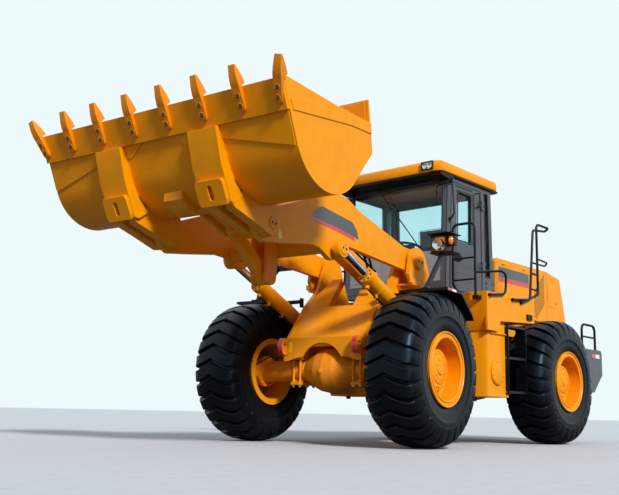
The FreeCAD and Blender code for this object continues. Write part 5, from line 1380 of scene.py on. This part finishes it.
bm = bmesh.new()
rear = weightForm["rear"]
for side in (1, -1):
    addLoft(bm, [weightSection(side * y, front, back) for y, front,
                 back in ((0.4703, -2.75, rear), (0.76, -2.75, rear), (1.15, -2.75, -3.31))])
    addLoft(bm, [weightSection(side * y, -3.3003, rear) for y in (0.1003, 0.4702)])
addLoft(bm, [weightSection(y, -3.3003, -3.4797) for y in (-0.1002, 0.1002)])
obj = finishMesh(bm, "weightBody", "rear_frame", greyPaint, bevel=0.012)
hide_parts("counterweight")
for side, label in sides:
    for k, (material, x0, x1) in enumerate(((reflectRed, -2.96, -3.085), (reflectWhite, -3.087, -3.215))):
        bm = bmesh.new()
        addPlate(bm, [(x0, 1.19), (x1, 1.19), (x1, 1.245), (x0, 1.245)], side * 1.1502, side * 1.153,
                 sideView)
        finishMesh(bm, "weightReflector_%s_%d" % (label, k), "rear_frame", material)

    def rearward(a, b, depth):
        return Vector((depth, side * a, b))

    bm = bmesh.new()
    addPlate(bm, [(0.545, 1.13), (0.735, 1.13), (0.735, 1.24), (0.545, 1.24)], -3.5601, -3.574, rearward)
    finishMesh(bm, "tailLampBack_" + label, "rear_frame", blackPlastic, bevel=0.004)
    for name, material, y0, y1 in (("tailLampRed_", lampRed, 0.555, 0.64),
                                   ("tailLampOrange_", lampOrange, 0.643, 0.725)):
        bm = bmesh.new()
        addPlate(bm, [(y0, 1.14), (y1, 1.14), (y1, 1.23), (y0, 1.23)], -3.5741, -3.586, rearward)
        finishMesh(bm, name + label, "rear_frame", material, bevel=0.004)
    bm = bmesh.new()
    railY = side * 1.09
    addRail(bm, [(-2.78, railY, 1.3095), (-2.78, railY, 1.665), (-3.22, railY, 1.665),
                 (-3.22, railY, 1.3095)], 0.018, 0.09)
    addTube(bm, [(-2.78, railY, 1.49), (-3.22, railY, 1.49)], 0.014)
    for x in (-2.78, -3.22):
        addBox(bm, (x - 0.04, railY - 0.03, 1.3095), (x + 0.04, railY + 0.03, 1.318))
    obj = finishMesh(bm, "weightRail_" + label, "rear_frame", blackPaint)
    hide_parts("rear_rail")
    # mud strip below the hood's skirt instead of a wide fender
    bm = bmesh.new()
    addPlate(bm, [(-1.024, 1.759), (-1.024, 1.729), (-1.404, 1.715), (-2.3, 1.665), (-2.7, 1.42),
                  (-2.712, 1.445), (-2.3, 1.695), (-1.404, 1.759)], side * 0.5603, side * 0.7, sideView)
    obj = finishMesh(bm, "mudStrip_" + label, "rear_frame", yellowPaint, bevel=0.003)
    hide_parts("rear_fenders")
print("hood, counterweight and rear trim made")

# The bucket's own frame: u along the floor, v up, origin on the hinge pin
bucketPin = (3.73, 2.008)
bucketArc = (0.66, 0.07)
bucketAngle = math.radians(67.0)


def onBucket(u, v, y):
    ca, sa = math.cos(bucketAngle), math.sin(bucketAngle)
    return Vector((bucketPin[0] + u * ca - v * sa, y, bucketPin[1] + u * sa + v * ca))


def arcPoints(centre, radius, start, end, count):
    steps = [math.radians(start + (end - start) * i / count) for i in range(count + 1)]
    return [(centre[0] + radius * math.cos(a), centre[1] + radius * math.sin(a)) for a in steps]


# Teeth: a forged wedge and a strap held by two sunk bolts, splayed at the corners
toothForm = {"seat": -0.4643, "pitch": 0.423, "count": 8, "corner": 1.428, "splay": 16.0, "width": 0.041,
             "bolts": (0.054, 0.137)}


def makeTeeth():
    bm = bmesh.new()
    rims = bmesh.new()
    bolts = []
    seat = toothForm["seat"]
    for i in range(toothForm["count"]):
        y = (i - (toothForm["count"] - 1) / 2.0) * toothForm["pitch"]
        splay = 0.0
        if abs(y) > toothForm["corner"]:
            y = math.copysign(toothForm["corner"], y)
            splay = math.radians(math.copysign(toothForm["splay"], y))

        def place(along, across, v):
            u = 1.0 + along * math.cos(splay) - across * math.sin(splay)
            return onBucket(u, v, y + along * math.sin(splay) + across * math.cos(splay))

        w = toothForm["width"]
        # sections along the tooth: reach, half width, underside, top
        rows = [(0.0, w * 0.3, -0.018, -0.0003), (0.012, w * 0.78, -0.028, -0.0003),
                (0.03, w * 0.98, -0.03, -0.0003), (0.205, w * 1.02, -0.046, -0.0003),
                (0.2155, w * 1.04, -0.048, -0.0003), (0.235, w * 1.04, -0.052, 0.048),
                (0.3, w * 0.96, -0.052, 0.026), (0.395, w * 0.8, -0.04, -0.018)]
        sections = []
        for along, half, low, high in rows:
            sections.append([place(along, -half, seat + low), place(along, half, seat + low),
                             place(along, half * 0.94, seat + high), place(along, -half * 0.94, seat + high)])
        addLoft(bm, sections[:4])
        addLoft(bm, sections[3:])
        for along in toothForm["bolts"]:
            drop = -0.03 - 0.016 * max(0.0, along - 0.03) / 0.175
            at = place(along, 0.0, seat + drop)
            down = place(along, 0.0, seat + drop - 1.0) - at
            addTurned(rims, [(0.0215, -0.004), (0.027, -0.004), (0.027, 0.0035), (0.0235, 0.005),
                             (0.0215, 0.0035)], at, down, steps=24, closed=True)
            bolts.append((at - down * 0.0005, down))
            top = place(along, 0.0, -0.4299)
            bolts.append((top, -down))
    obj = finishMesh(bm, "bucketTeethForged", "bucket", castSkin, bevel=0.003)
    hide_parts("bucket_teeth")
    finishMesh(rims, "toothBoltRims", "bucket", castSkin)
    boltPiece("toothBolts", "bucket", bolts, 0.0155, toothBoltIron)


toothBoltIron = makeFinish("toothBoltIron", (0.16, 0.085, 0.03), 0.5, metallic=0.4, tone=0.3, grain=200.0,
                           bump=0.1, dust=0.0)
makeTeeth()

# Ribs, slotted pads, wear plates, guard seams and weld beads on the bucket
ribForm = {"inner": 0.42, "outer": 0.752}
for side, label in sides:
    bm = bmesh.new()
    box = [(0.9465, -0.4305), (0.9465, -0.496), (0.64, -0.529), (0.296, -0.51), (0.27, -0.46), (0.3, -0.33),
           (0.45, -0.4), (0.66, -0.4305)]
    addPlate(bm, box, side * ribForm["inner"], side * ribForm["outer"], onBucket)
    for y0, y1 in ((0.452, 0.5197), (0.6803, 0.748)):
        shell = arcPoints(bucketArc, 0.5005, 232.0, 176.0, 8)
        outline = [(0.31, -0.509), (0.24, -0.472), (0.06, -0.253), (-0.062, -0.112), (-0.104, -0.06),
                   (-0.118, 0.0), (-0.1, 0.052), (-0.055, 0.086), (0.03, 0.118)] + shell[::-1]
        addPlate(bm, outline, side * y0, side * y1, onBucket)
    finishMesh(bm, "bucketRibs_" + label, "bucket", yellowPaint, bevel=0.004)

    # pad slab with a long slot, standing proud of the rib
    def onRib(a, b, depth):
        slope = (-0.529 + (0.64 - a) / (0.64 - 0.296) * 0.019) if a < 0.64 else -0.529
        return onBucket(a, slope - depth, side * b)

    bm = bmesh.new()
    centre = (0.398, 0.586)
    outer, inner = [], []
    for i in range(32):
        a = 2.0 * math.pi * (i + 0.5) / 32
        c, s = math.cos(a), math.sin(a)
        stretch = max(abs(c) / 0.115, abs(s) / 0.158)
        outer.append((centre[0] + c / stretch, centre[1] + s / stretch))
        inner.append((centre[0] + 0.024 * c + math.copysign(0.042, c), centre[1] + 0.024 * s))
    addFrame(bm, outer, inner, 0.0002, 0.044, onRib)
    finishMesh(bm, "bucketPad_" + label, "bucket", yellowPaint, bevel=0.004)
    bm = bmesh.new()
    under = lambda a, b, depth: onBucket(a, -0.4302 - depth, side * b)
    addPlate(bm, [(0.9465, 1.478), (0.655, 1.478), (0.832, 0.7525), (0.9465, 0.7525)], 0.0, 0.012, under)
    addPlate(bm, [(0.9465, 0.4195), (0.9465, 0.185), (0.83, 0.345), (0.83, 0.4195)], 0.0, 0.01, under)
    finishMesh(bm, "wearPlates_" + label, "bucket", yellowPaint, bevel=0.0015)
    # spill guard plate on the cheek
    bm = bmesh.new()
    guard = [(1.02, -0.392), (0.8865, 0.292), (0.6775, 0.763), (0.585, 0.737), (0.7, 0.44), (0.935, -0.392)]
    addPlate(bm, guard, side * 1.4902, side * 1.499, onBucket)
    finishMesh(bm, "cheekGuard_" + label, "bucket", yellowPaint, bevel=0.0015)
    bm = bmesh.new()
    rim = arcPoints(bucketArc, 0.4975, 268.0, 156.0, 26)
    addBead(bm, [onBucket(a, b, side * 1.4905) for a, b in rim], 0.0045, seed=11 + side)
    addBead(bm, [onBucket(a, -0.4305, side * 1.4905) for a in (1.195, 0.93, 0.67)], 0.0045, seed=13 + side)
    for y in (ribForm["inner"], ribForm["outer"]):
        addBead(bm, [onBucket(a, -0.4315, side * y) for a in (0.944, 0.8, 0.665)], 0.0055, seed=17 + side)
        curve = arcPoints(bucketArc, 0.5015, 270.0, 236.0, 8)
        addBead(bm, [onBucket(a, b, side * y) for a, b in curve], 0.0055, seed=19 + side)
    for y in (0.452, 0.748):
        curve = arcPoints(bucketArc, 0.5015, 232.0, 177.0, 12)
        addBead(bm, [onBucket(a, b, side * y) for a, b in curve], 0.0055, seed=23 + side)
    finishMesh(bm, "bucketWelds_" + label, "bucket", yellowPaint)
bm = bmesh.new()
addBead(bm, [onBucket(0.9475, -0.4315, y) for y in (-1.47, 0.0, 1.47)], 0.0055, seed=31)
addBead(bm, [onBucket(1.18, -0.4055, y) for y in (-1.46, 0.0, 1.46)], 0.005, seed=32)
finishMesh(bm, "edgeWelds", "bucket", yellowPaint)
# centre channel between the ribs, and the inner strengthening strip
bm = bmesh.new()
channel = arcPoints(bucketArc, 0.5003, 246.0, 216.0, 8)
outerChannel = arcPoints(bucketArc, 0.56, 216.0, 240.0, 8)
addPlate(bm, channel + outerChannel, -0.115, 0.115, onBucket)
finishMesh(bm, "bucketChannel", "bucket", yellowPaint, bevel=0.004)
bm = bmesh.new()
addPlate(bm, [(0.878, 0.79), (0.7, 0.742), (0.7, 0.73), (0.878, 0.776)], -1.462, 1.462, onBucket)
finishMesh(bm, "bucketTopStrip", "bucket", yellowPaint, bevel=0.002)
print("bucket trim made")

# Pins: round caps with two bolts at every joint of the arm
capForm = [(0.0, 0.0), (1.0, 0.0), (1.0, 0.1), (0.9, 0.2), (0.62, 0.2), (0.6, 0.14), (0.0, 0.14)]


def makeCap(name, body, at, y, side, radius):
    bm = bmesh.new()
    profile = [(r * radius, h * 0.055) for r, h in capForm]
    addTurned(bm, profile, (at[0], side * y, at[1]), (0, side, 0), steps=40)
    finishMesh(bm, name, body, yellowPaint, bevel=0.001)
    places = ringPlaces((at[0], side * (y + 0.0078), at[1]), (0, side, 0), radius * 0.42, 2, 35.0)
    boltPiece(name + "Bolts", body, places, 0.0095, engineIron)


boomPin, liftFoot, liftPin, rockerPin = (0.98, 2.066), (0.9956, 1.2581), (2.6, 1.957), (2.9, 2.28)
tiltFoot, tiltPin = (0.6, 1.79), (2.58, 2.56)
liftMiddle = 0.722
for side, label in sides:
    makeCap("boomFootCap_" + label, "front_frame", boomPin, 0.7282, side, 0.092)
    makeCap("bucketPinCap_" + label, "bucket", bucketPin, 0.7482, side, 0.062)
    makeCap("liftFootCap_" + label, "front_frame", liftFoot, 0.8002, side, 0.06)
    makeCap("rockerPinCap_" + label, "boom", rockerPin, 0.1462, side, 0.056)
    # tower ledge under the boom foot, gussets
    bm = bmesh.new()
    ys = sorted((side * 0.7063, side * 0.728))
    addBox(bm, (0.82, ys[0], 1.8), (1.195, ys[1], 1.862))
    addPlate(bm, [(0.7, 1.79), (1.15, 1.79), (1.06, 1.64), (0.76, 1.64)], side * 0.5153, side * 0.56,
             sideView)
    addPlate(bm, [(0.82, 1.799), (1.15, 1.799), (1.15, 1.78), (0.82, 1.78)], side * 0.5153, side * 0.728,
             sideView)
    finishMesh(bm, "towerLedge_" + label, "front_frame", yellowPaint, bevel=0.004)
    # lift rod eye cover and cap, on the rod
    bm = bmesh.new()
    addTurned(bm, [(0.0, 0.684), (0.09, 0.684), (0.095, 0.69), (0.095, 0.752), (0.09, 0.7605),
                   (0.0, 0.7605)], (liftPin[0], 0.0, liftPin[1]), (0, side, 0), steps=56)
    foot, head = sideView(*liftFoot, side * liftMiddle), sideView(*liftPin, side * liftMiddle)
    ahead3 = (head - foot).normalized()
    finishMesh(bm, "liftRodEye_" + label, "lift_rod_" + label, yellowPaint, bevel=0.002)
    makeCap("liftPinCap_" + label, "lift_rod_" + label, liftPin, 0.7607, side, 0.066)
    # lift barrel: bolted head, pipe along it, clamps, port blocks
    end = foot + ahead3 * 1.25
    bm = bmesh.new()
    addTurned(bm, [(0.0842, -0.07), (0.087, -0.07), (0.0885, -0.064), (0.0885, -0.018), (0.087, -0.012),
                   (0.0842, -0.012)], end, ahead3, steps=48, closed=True)
    side3 = Vector((0.0, side, 0.0))
    under3 = ahead3.cross(side3) * (-1.0 if ahead3.cross(side3).z > 0 else 1.0)
    for along in (1.165, 0.23):
        at = foot + ahead3 * along + under3 * 0.07
        addTube(bm, [at, at + under3 * 0.05], 0.024, sides=20)
    finishMesh(bm, "liftHead_" + label, "lift_barrel_" + label, yellowPaint, bevel=0.002)
    boltPiece("liftHeadBolts_" + label, "lift_barrel_" + label,
              ringPlaces(end + ahead3 * 0.0006, ahead3, 0.066, 8), 0.008, engineIron)
    bm = bmesh.new()
    a, b = [foot + ahead3 * along + under3 * 0.112 for along in (1.165, 0.245)]
    addRail(bm,
            [foot + ahead3 * 1.165 + under3 * 0.09, a, b,
             foot + ahead3 * 0.18 + under3 * 0.1 - side3 * 0.09], 0.011, 0.03, sides=10)
    finishMesh(bm, "liftPipe_" + label, "lift_barrel_" + label, blackPaint)
    bm = bmesh.new()
    for along in (0.42, 0.7, 0.98):
        centre = foot + ahead3 * along
        addTurned(bm, [(0.0842, -0.012), (0.0875, -0.012), (0.0875, 0.012), (0.0842, 0.012)], centre,
                  ahead3, steps=40, closed=True)
        at = centre + under3 * 0.098
        addLoft(bm, [[at + ahead3 * dx + under3 * dz + side3 * dy for dx,
                      dz in ((-0.012, -0.014), (0.012, -0.014), (0.012, 0.026), (-0.012, 0.026))]
                     for dy in (-0.02, 0.02)])
    finishMesh(bm, "liftClamps_" + label, "lift_barrel_" + label, yellowPaint)

# Tilt cylinder: head, eye cover, pipe
foot, head = sideView(*tiltFoot, 0.0), sideView(*tiltPin, 0.0)
ahead3 = (head - foot).normalized()
reach = (head - foot).length - 0.56
end = foot + ahead3 * reach
up3 = Vector((0.0, 1.0, 0.0)).cross(ahead3) * -1.0
bm = bmesh.new()
addTurned(bm, [(0.052, -0.06), (0.13, -0.06), (0.134, -0.054), (0.134, -0.004), (0.128, 0.002),
               (0.052, 0.002)], end, ahead3, steps=56, closed=True)
for along in (reach - 0.11, 0.24):
    at = foot + ahead3 * along + up3 * 0.095
    addTube(bm, [at, at + up3 * 0.055], 0.028, sides=20)
finishMesh(bm, "tiltHead", "tilt_barrel", yellowPaint, bevel=0.002)
boltPiece("tiltHeadBolts", "tilt_barrel", ringPlaces(end + ahead3 * 0.0023, ahead3, 0.112, 10), 0.011,
          engineIron)
bm = bmesh.new()
a, b = [foot + ahead3 * along + up3 * 0.15 for along in (reach - 0.11, 0.24)]
addRail(bm, [a - up3 * 0.02, a + up3 * 0.015, b + up3 * 0.015, b - up3 * 0.02], 0.013, 0.03, sides=10)
finishMesh(bm, "tiltPipe", "tilt_barrel", blackPaint)
bm = bmesh.new()
addTurned(bm, [(0.0, -0.047), (0.088, -0.047), (0.092, -0.043), (0.092, 0.043), (0.088, 0.047),
               (0.0, 0.047)], head, (0, 1, 0), steps=48)
finishMesh(bm, "tiltRodEye", "tilt_rod", yellowPaint)
print("cylinders and pins made")

# Front frame: apron wings beside the tilt cylinder, front beam arched over the axle, tie-down ears
def onSlant(a, b, depth):
    # a up the slope from the foot edge, b across, depth outwards
    dx, dz = -0.6203, 0.7844
    return Vector((1.86 + dx * a + dz * depth, b, 1.11 + dz * a - dx * depth))


bm = bmesh.new()
for side in (1, -1):
    addPlate(bm, [(0.548, side * 0.17), (0.548, side * 0.469), (0.64, side * 0.469), (1.0, side * 0.3),
                  (1.0, side * 0.17)], -0.018, 0.002, onSlant)
    addPlate(bm, [(1.215, 1.87), (1.518, 1.52), (1.47, 1.5), (1.17, 1.85)], side * 0.17, side * 0.188,
             sideView)
beam = [(-0.515, 1.155), (0.515, 1.155), (0.515, 0.9), (0.47, 0.895), (0.33, 0.935), (0.262, 0.938)]
beam += [(y, z) for y, z in arcPoints((0.0, 0.8), 0.292, 31.0, 149.0, 14)] + [(-0.262, 0.938),
        (-0.33, 0.935), (-0.47, 0.895), (-0.515, 0.9)]
addPlate(bm, beam, 1.8615, 1.885, lambda a, b, depth: Vector((depth, a, b)))
addPlate(bm, [(1.8614, 1.1548), (1.8614, 1.112), (1.818, 1.167)], -0.47, 0.47, sideView)
finishMesh(bm, "frontBeam", "front_frame", yellowPaint, bevel=0.003)
for side, label in sides:
    bm = bmesh.new()
    outer, inner = [], []
    for i in range(36):
        a = 2.0 * math.pi * i / 36
        c, s = math.cos(a), math.sin(a)
        outer.append((1.925 + (0.066 * c if c > 0 else 0.04 * c * (1.0 + abs(s) * 0.2)), 1.06 + 0.095 * s))
        inner.append((1.93 + 0.03 * c, 1.07 + 0.03 * s))
    addFrame(bm, outer, inner, side * 0.464, side * 0.521, sideView)
    addBox(bm, (1.8852, min(side * 0.464, side * 0.521), 0.975),
           (1.9, max(side * 0.464, side * 0.521), 1.145))
    finishMesh(bm, "tieEar_" + label, "front_frame", yellowPaint, bevel=0.003)
    bm = bmesh.new()
    band = [(1.925 + 0.0665 * math.cos(a), 1.06 + 0.0955 * math.sin(a))
            for a in [math.radians(-72.0 + 9.0 * i) for i in range(17)]]
    back = [(1.925 + 0.07 * math.cos(a), 1.06 + 0.099 * math.sin(a))
            for a in [math.radians(-72.0 + 9.0 * i) for i in range(17)]]
    addPlate(bm, band + back[::-1], side * 0.463, side * 0.522, sideView)
    finishMesh(bm, "tieEarPaint_" + label, "front_frame", stripeRed)
bm = bmesh.new()
addPlate(bm, [(-0.44, 1.0), (-0.395, 1.0), (-0.395, 1.11), (-0.44, 1.11)], 1.8852, 1.8862,
         lambda a, b, depth: Vector((depth, a, b)))
finishMesh(bm, "blankTagFrame", "front_frame", blankYellow)
# grease bank and valve block between the towers
bm = bmesh.new()
addBox(bm, (1.1, -0.3, 1.31), (1.33, 0.3, 1.45))
addBox(bm, (1.13, -0.2, 1.45), (1.28, 0.2, 1.5))
for y in (-0.22, -0.13, 0.13, 0.22):
    addTube(bm, [(1.331, y, 1.385), (1.365, y, 1.385)], 0.022, sides=16)
finishMesh(bm, "valveBlock", "front_frame", blackPaint, bevel=0.004)
bm = bmesh.new()
addBead(bm, [onSlant(0.02, 0.4685, 0.001), onSlant(0.53, 0.4685, 0.001)], 0.005, seed=41)
addBead(bm, [onSlant(0.02, -0.4685, 0.001), onSlant(0.53, -0.4685, 0.001)], 0.005, seed=42)
finishMesh(bm, "slantWelds", "front_frame", yellowPaint)
print("front frame trim made")

# Seat: both cushions swell by a cloth simulation inside the space of the CAD cushion
seatForm = {"inset": 0.012, "voxel": 0.006, "pressure": 4.0, "cap": 0.011, "frames": 20}


def makeSeat():
    bm = bmesh.new()
    addBox(bm, (-0.588, -0.238, 2.1915), (-0.122, 0.238, 2.288))
    addBox(bm, (-0.668, -0.228, 2.1925), (-0.612, 0.228, 2.808))
    form = bpy.data.meshes.new("seatPads")
    bmesh.ops.bevel(bm, geom=bm.edges[:], offset=0.02, segments=3, profile=0.5, affect="EDGES")
    bmesh.ops.recalc_face_normals(bm, faces=bm.faces[:])
    bm.to_mesh(form)
    bm.free()
    pad = bpy.data.objects.new("seatPads", form)
    bpy.context.collection.objects.link(pad)
    remesh = pad.modifiers.new("grid", "REMESH")
    remesh.mode = "VOXEL"
    remesh.voxel_size = seatForm["voxel"]
    layer = bpy.context.evaluated_depsgraph_get()
    grid = bpy.data.meshes.new_from_object(pad.evaluated_get(layer))
    pad.modifiers.remove(remesh)
    pad.data = grid
    rest = [v.co.copy() for v in grid.vertices]
    cloth = pad.modifiers.new("swell", "CLOTH")
    cloth.settings.use_pressure = True
    cloth.settings.uniform_pressure_force = seatForm["pressure"]
    cloth.settings.effector_weights.gravity = 0.0
    cloth.settings.tension_stiffness = 12.0
    cloth.settings.compression_stiffness = 12.0
    cloth.settings.bending_stiffness = 0.6
    for frameAt in range(1, seatForm["frames"] + 1):
        bpy.context.scene.frame_set(frameAt)
    layer = bpy.context.evaluated_depsgraph_get()
    swollen = bpy.data.meshes.new_from_object(pad.evaluated_get(layer))
    for vertex, start in zip(swollen.vertices, rest):
        step = vertex.co - start
        if step.length > seatForm["cap"]:
            vertex.co = start + step.normalized() * seatForm["cap"]
    pad.modifiers.clear()
    pad.data = swollen
    bpy.context.scene.frame_set(1)
    # sewn channels pressed in across the cushion and the back
    for vertex in pad.data.vertices:
        x, z = vertex.co.x, vertex.co.z
        if x > -0.6 and z > 2.235:
            for line in (-0.24, -0.36, -0.48):
                vertex.co.z -= 0.007 * math.exp(-((x - line) / 0.008) ** 2)
        elif x > -0.645 and z > 2.3:
            for line in (2.44, 2.56, 2.68):
                vertex.co.x -= 0.006 * math.exp(-((z - line) / 0.008) ** 2)
        vertex.co.z = min(max(vertex.co.z, 2.1805), 2.8195)
        vertex.co.x = min(max(vertex.co.x, -0.6795), -0.1105)
    for polygon in pad.data.polygons:
        polygon.use_smooth = True
    pad.data.materials.clear()
    pad.data.materials.append(seatCloth)
    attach(pad, "rear_frame")
    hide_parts("seat_cushion")


seatCloth = makeFinish("seatCloth", (0.2, 0.21, 0.2), 0.85, tone=0.25, grain=700.0, bump=0.35, dust=0.0)
makeSeat()
bm = bmesh.new()
addRail(bm, [Vector(p) for p in [(-0.5985, -0.215, 2.3), (-0.5985, -0.215, 2.8), (-0.5985, 0.215, 2.8),
                                 (-0.5985, 0.215, 2.3)]], 0.0035, 0.04, sides=8)
finishMesh(bm, "seatPiping", "rear_frame", blackPlastic)
# Cab inside: dash, lever box, arm rest, headrest posts, pedals
bm = bmesh.new()
addBox(bm, (0.02, -0.6, 2.33), (0.13, 0.6, 2.4))
addBox(bm, (0.05, -0.16, 2.4), (0.12, 0.16, 2.47))
addBox(bm, (-0.5, -0.44, 2.195), (-0.14, -0.3, 2.33))
for dx in (-0.2, -0.27, -0.34):
    addTube(bm, [(dx, -0.37, 2.329), (dx - 0.01, -0.37, 2.44)], 0.006, sides=10)
    addTurned(bm, [(0.0, 0.0), (0.014, 0.006), (0.018, 0.022), (0.012, 0.038), (0.0, 0.042)],
              (dx - 0.01, -0.37, 2.436), (0, 0, 1), steps=16)
for y in (-0.26, 0.26):
    addBox(bm, (-0.57, y - 0.025, 2.42), (-0.3, y + 0.025, 2.455))
    addTube(bm, [(-0.6, y, 2.4), (-0.56, y, 2.43)], 0.012, sides=10)
finishMesh(bm, "cabConsole", "rear_frame", blackPlastic, bevel=0.008)
bm = bmesh.new()
for y, width in ((0.16, 0.05), (-0.16, 0.05)):
    addPlate(bm, [(0.06, 1.9), (0.15, 2.01), (0.156, 2.004), (0.066, 1.894)], y - width, y + width, sideView)
finishMesh(bm, "cabPedals", "rear_frame", engineIron, bevel=0.002)
print("seat and cab inside made")

# Hoses: two from the boom to the slanted plate
bm = bmesh.new()
for y in (0.235, 0.29):
    addRail(bm, [onSlant(0.89, y, 0.03), onSlant(0.98, y, 0.032), onSlant(1.06, y + 0.01, 0.26),
                 Vector((1.56, y, 2.15))], 0.013, 0.09, sides=16)
finishMesh(bm, "tiltHoses", "front_frame", blackPlastic)
bm = bmesh.new()
for y in (0.235, 0.29):
    addTube(bm, [onSlant(0.825, y, 0.003), onSlant(0.825, y, 0.03)], 0.019, sides=20)
    addTube(bm, [onSlant(0.76, y, 0.03), onSlant(0.89, y, 0.03)], 0.017, sides=20)
finishMesh(bm, "hoseElbows", "front_frame", engineIron)
bm = bmesh.new()
addLoft(bm, [[onSlant(a, y, d) for a, d in ((0.69, 0.0025), (0.75, 0.0025), (0.75, 0.04), (0.69, 0.04))]
             for y in (0.205, 0.32)])
finishMesh(bm, "hoseClamp", "front_frame", yellowPaint, bevel=0.004)
# Propshafts under the frames, yokes at both ends
for label, body, x0, x1 in (("front", "front_frame", 0.5103, 1.2397), ("rear", "rear_frame", -1.32, -0.82)):
    bm = bmesh.new()
    addTube(bm, [(x0 + 0.05, 0.0, 0.8), (x1 - 0.05, 0.0, 0.8)], 0.042, sides=32)
    for at, sign in ((x0, 1.0), (x1, -1.0)):
        addTurned(bm, [(0.0, 0.0005), (0.075, 0.0005), (0.078, 0.004), (0.078, 0.02), (0.05, 0.03),
                       (0.0, 0.03)], (at, 0.0, 0.8), (sign, 0, 0), steps=32)
        addBox(bm, (min(at + sign * 0.028, at + sign * 0.075), -0.036, 0.766),
               (max(at + sign * 0.028, at + sign * 0.075), 0.036, 0.834))
    finishMesh(bm, "propshaft_" + label, body, engineIron, bevel=0.003)
print("hoses and shafts made")
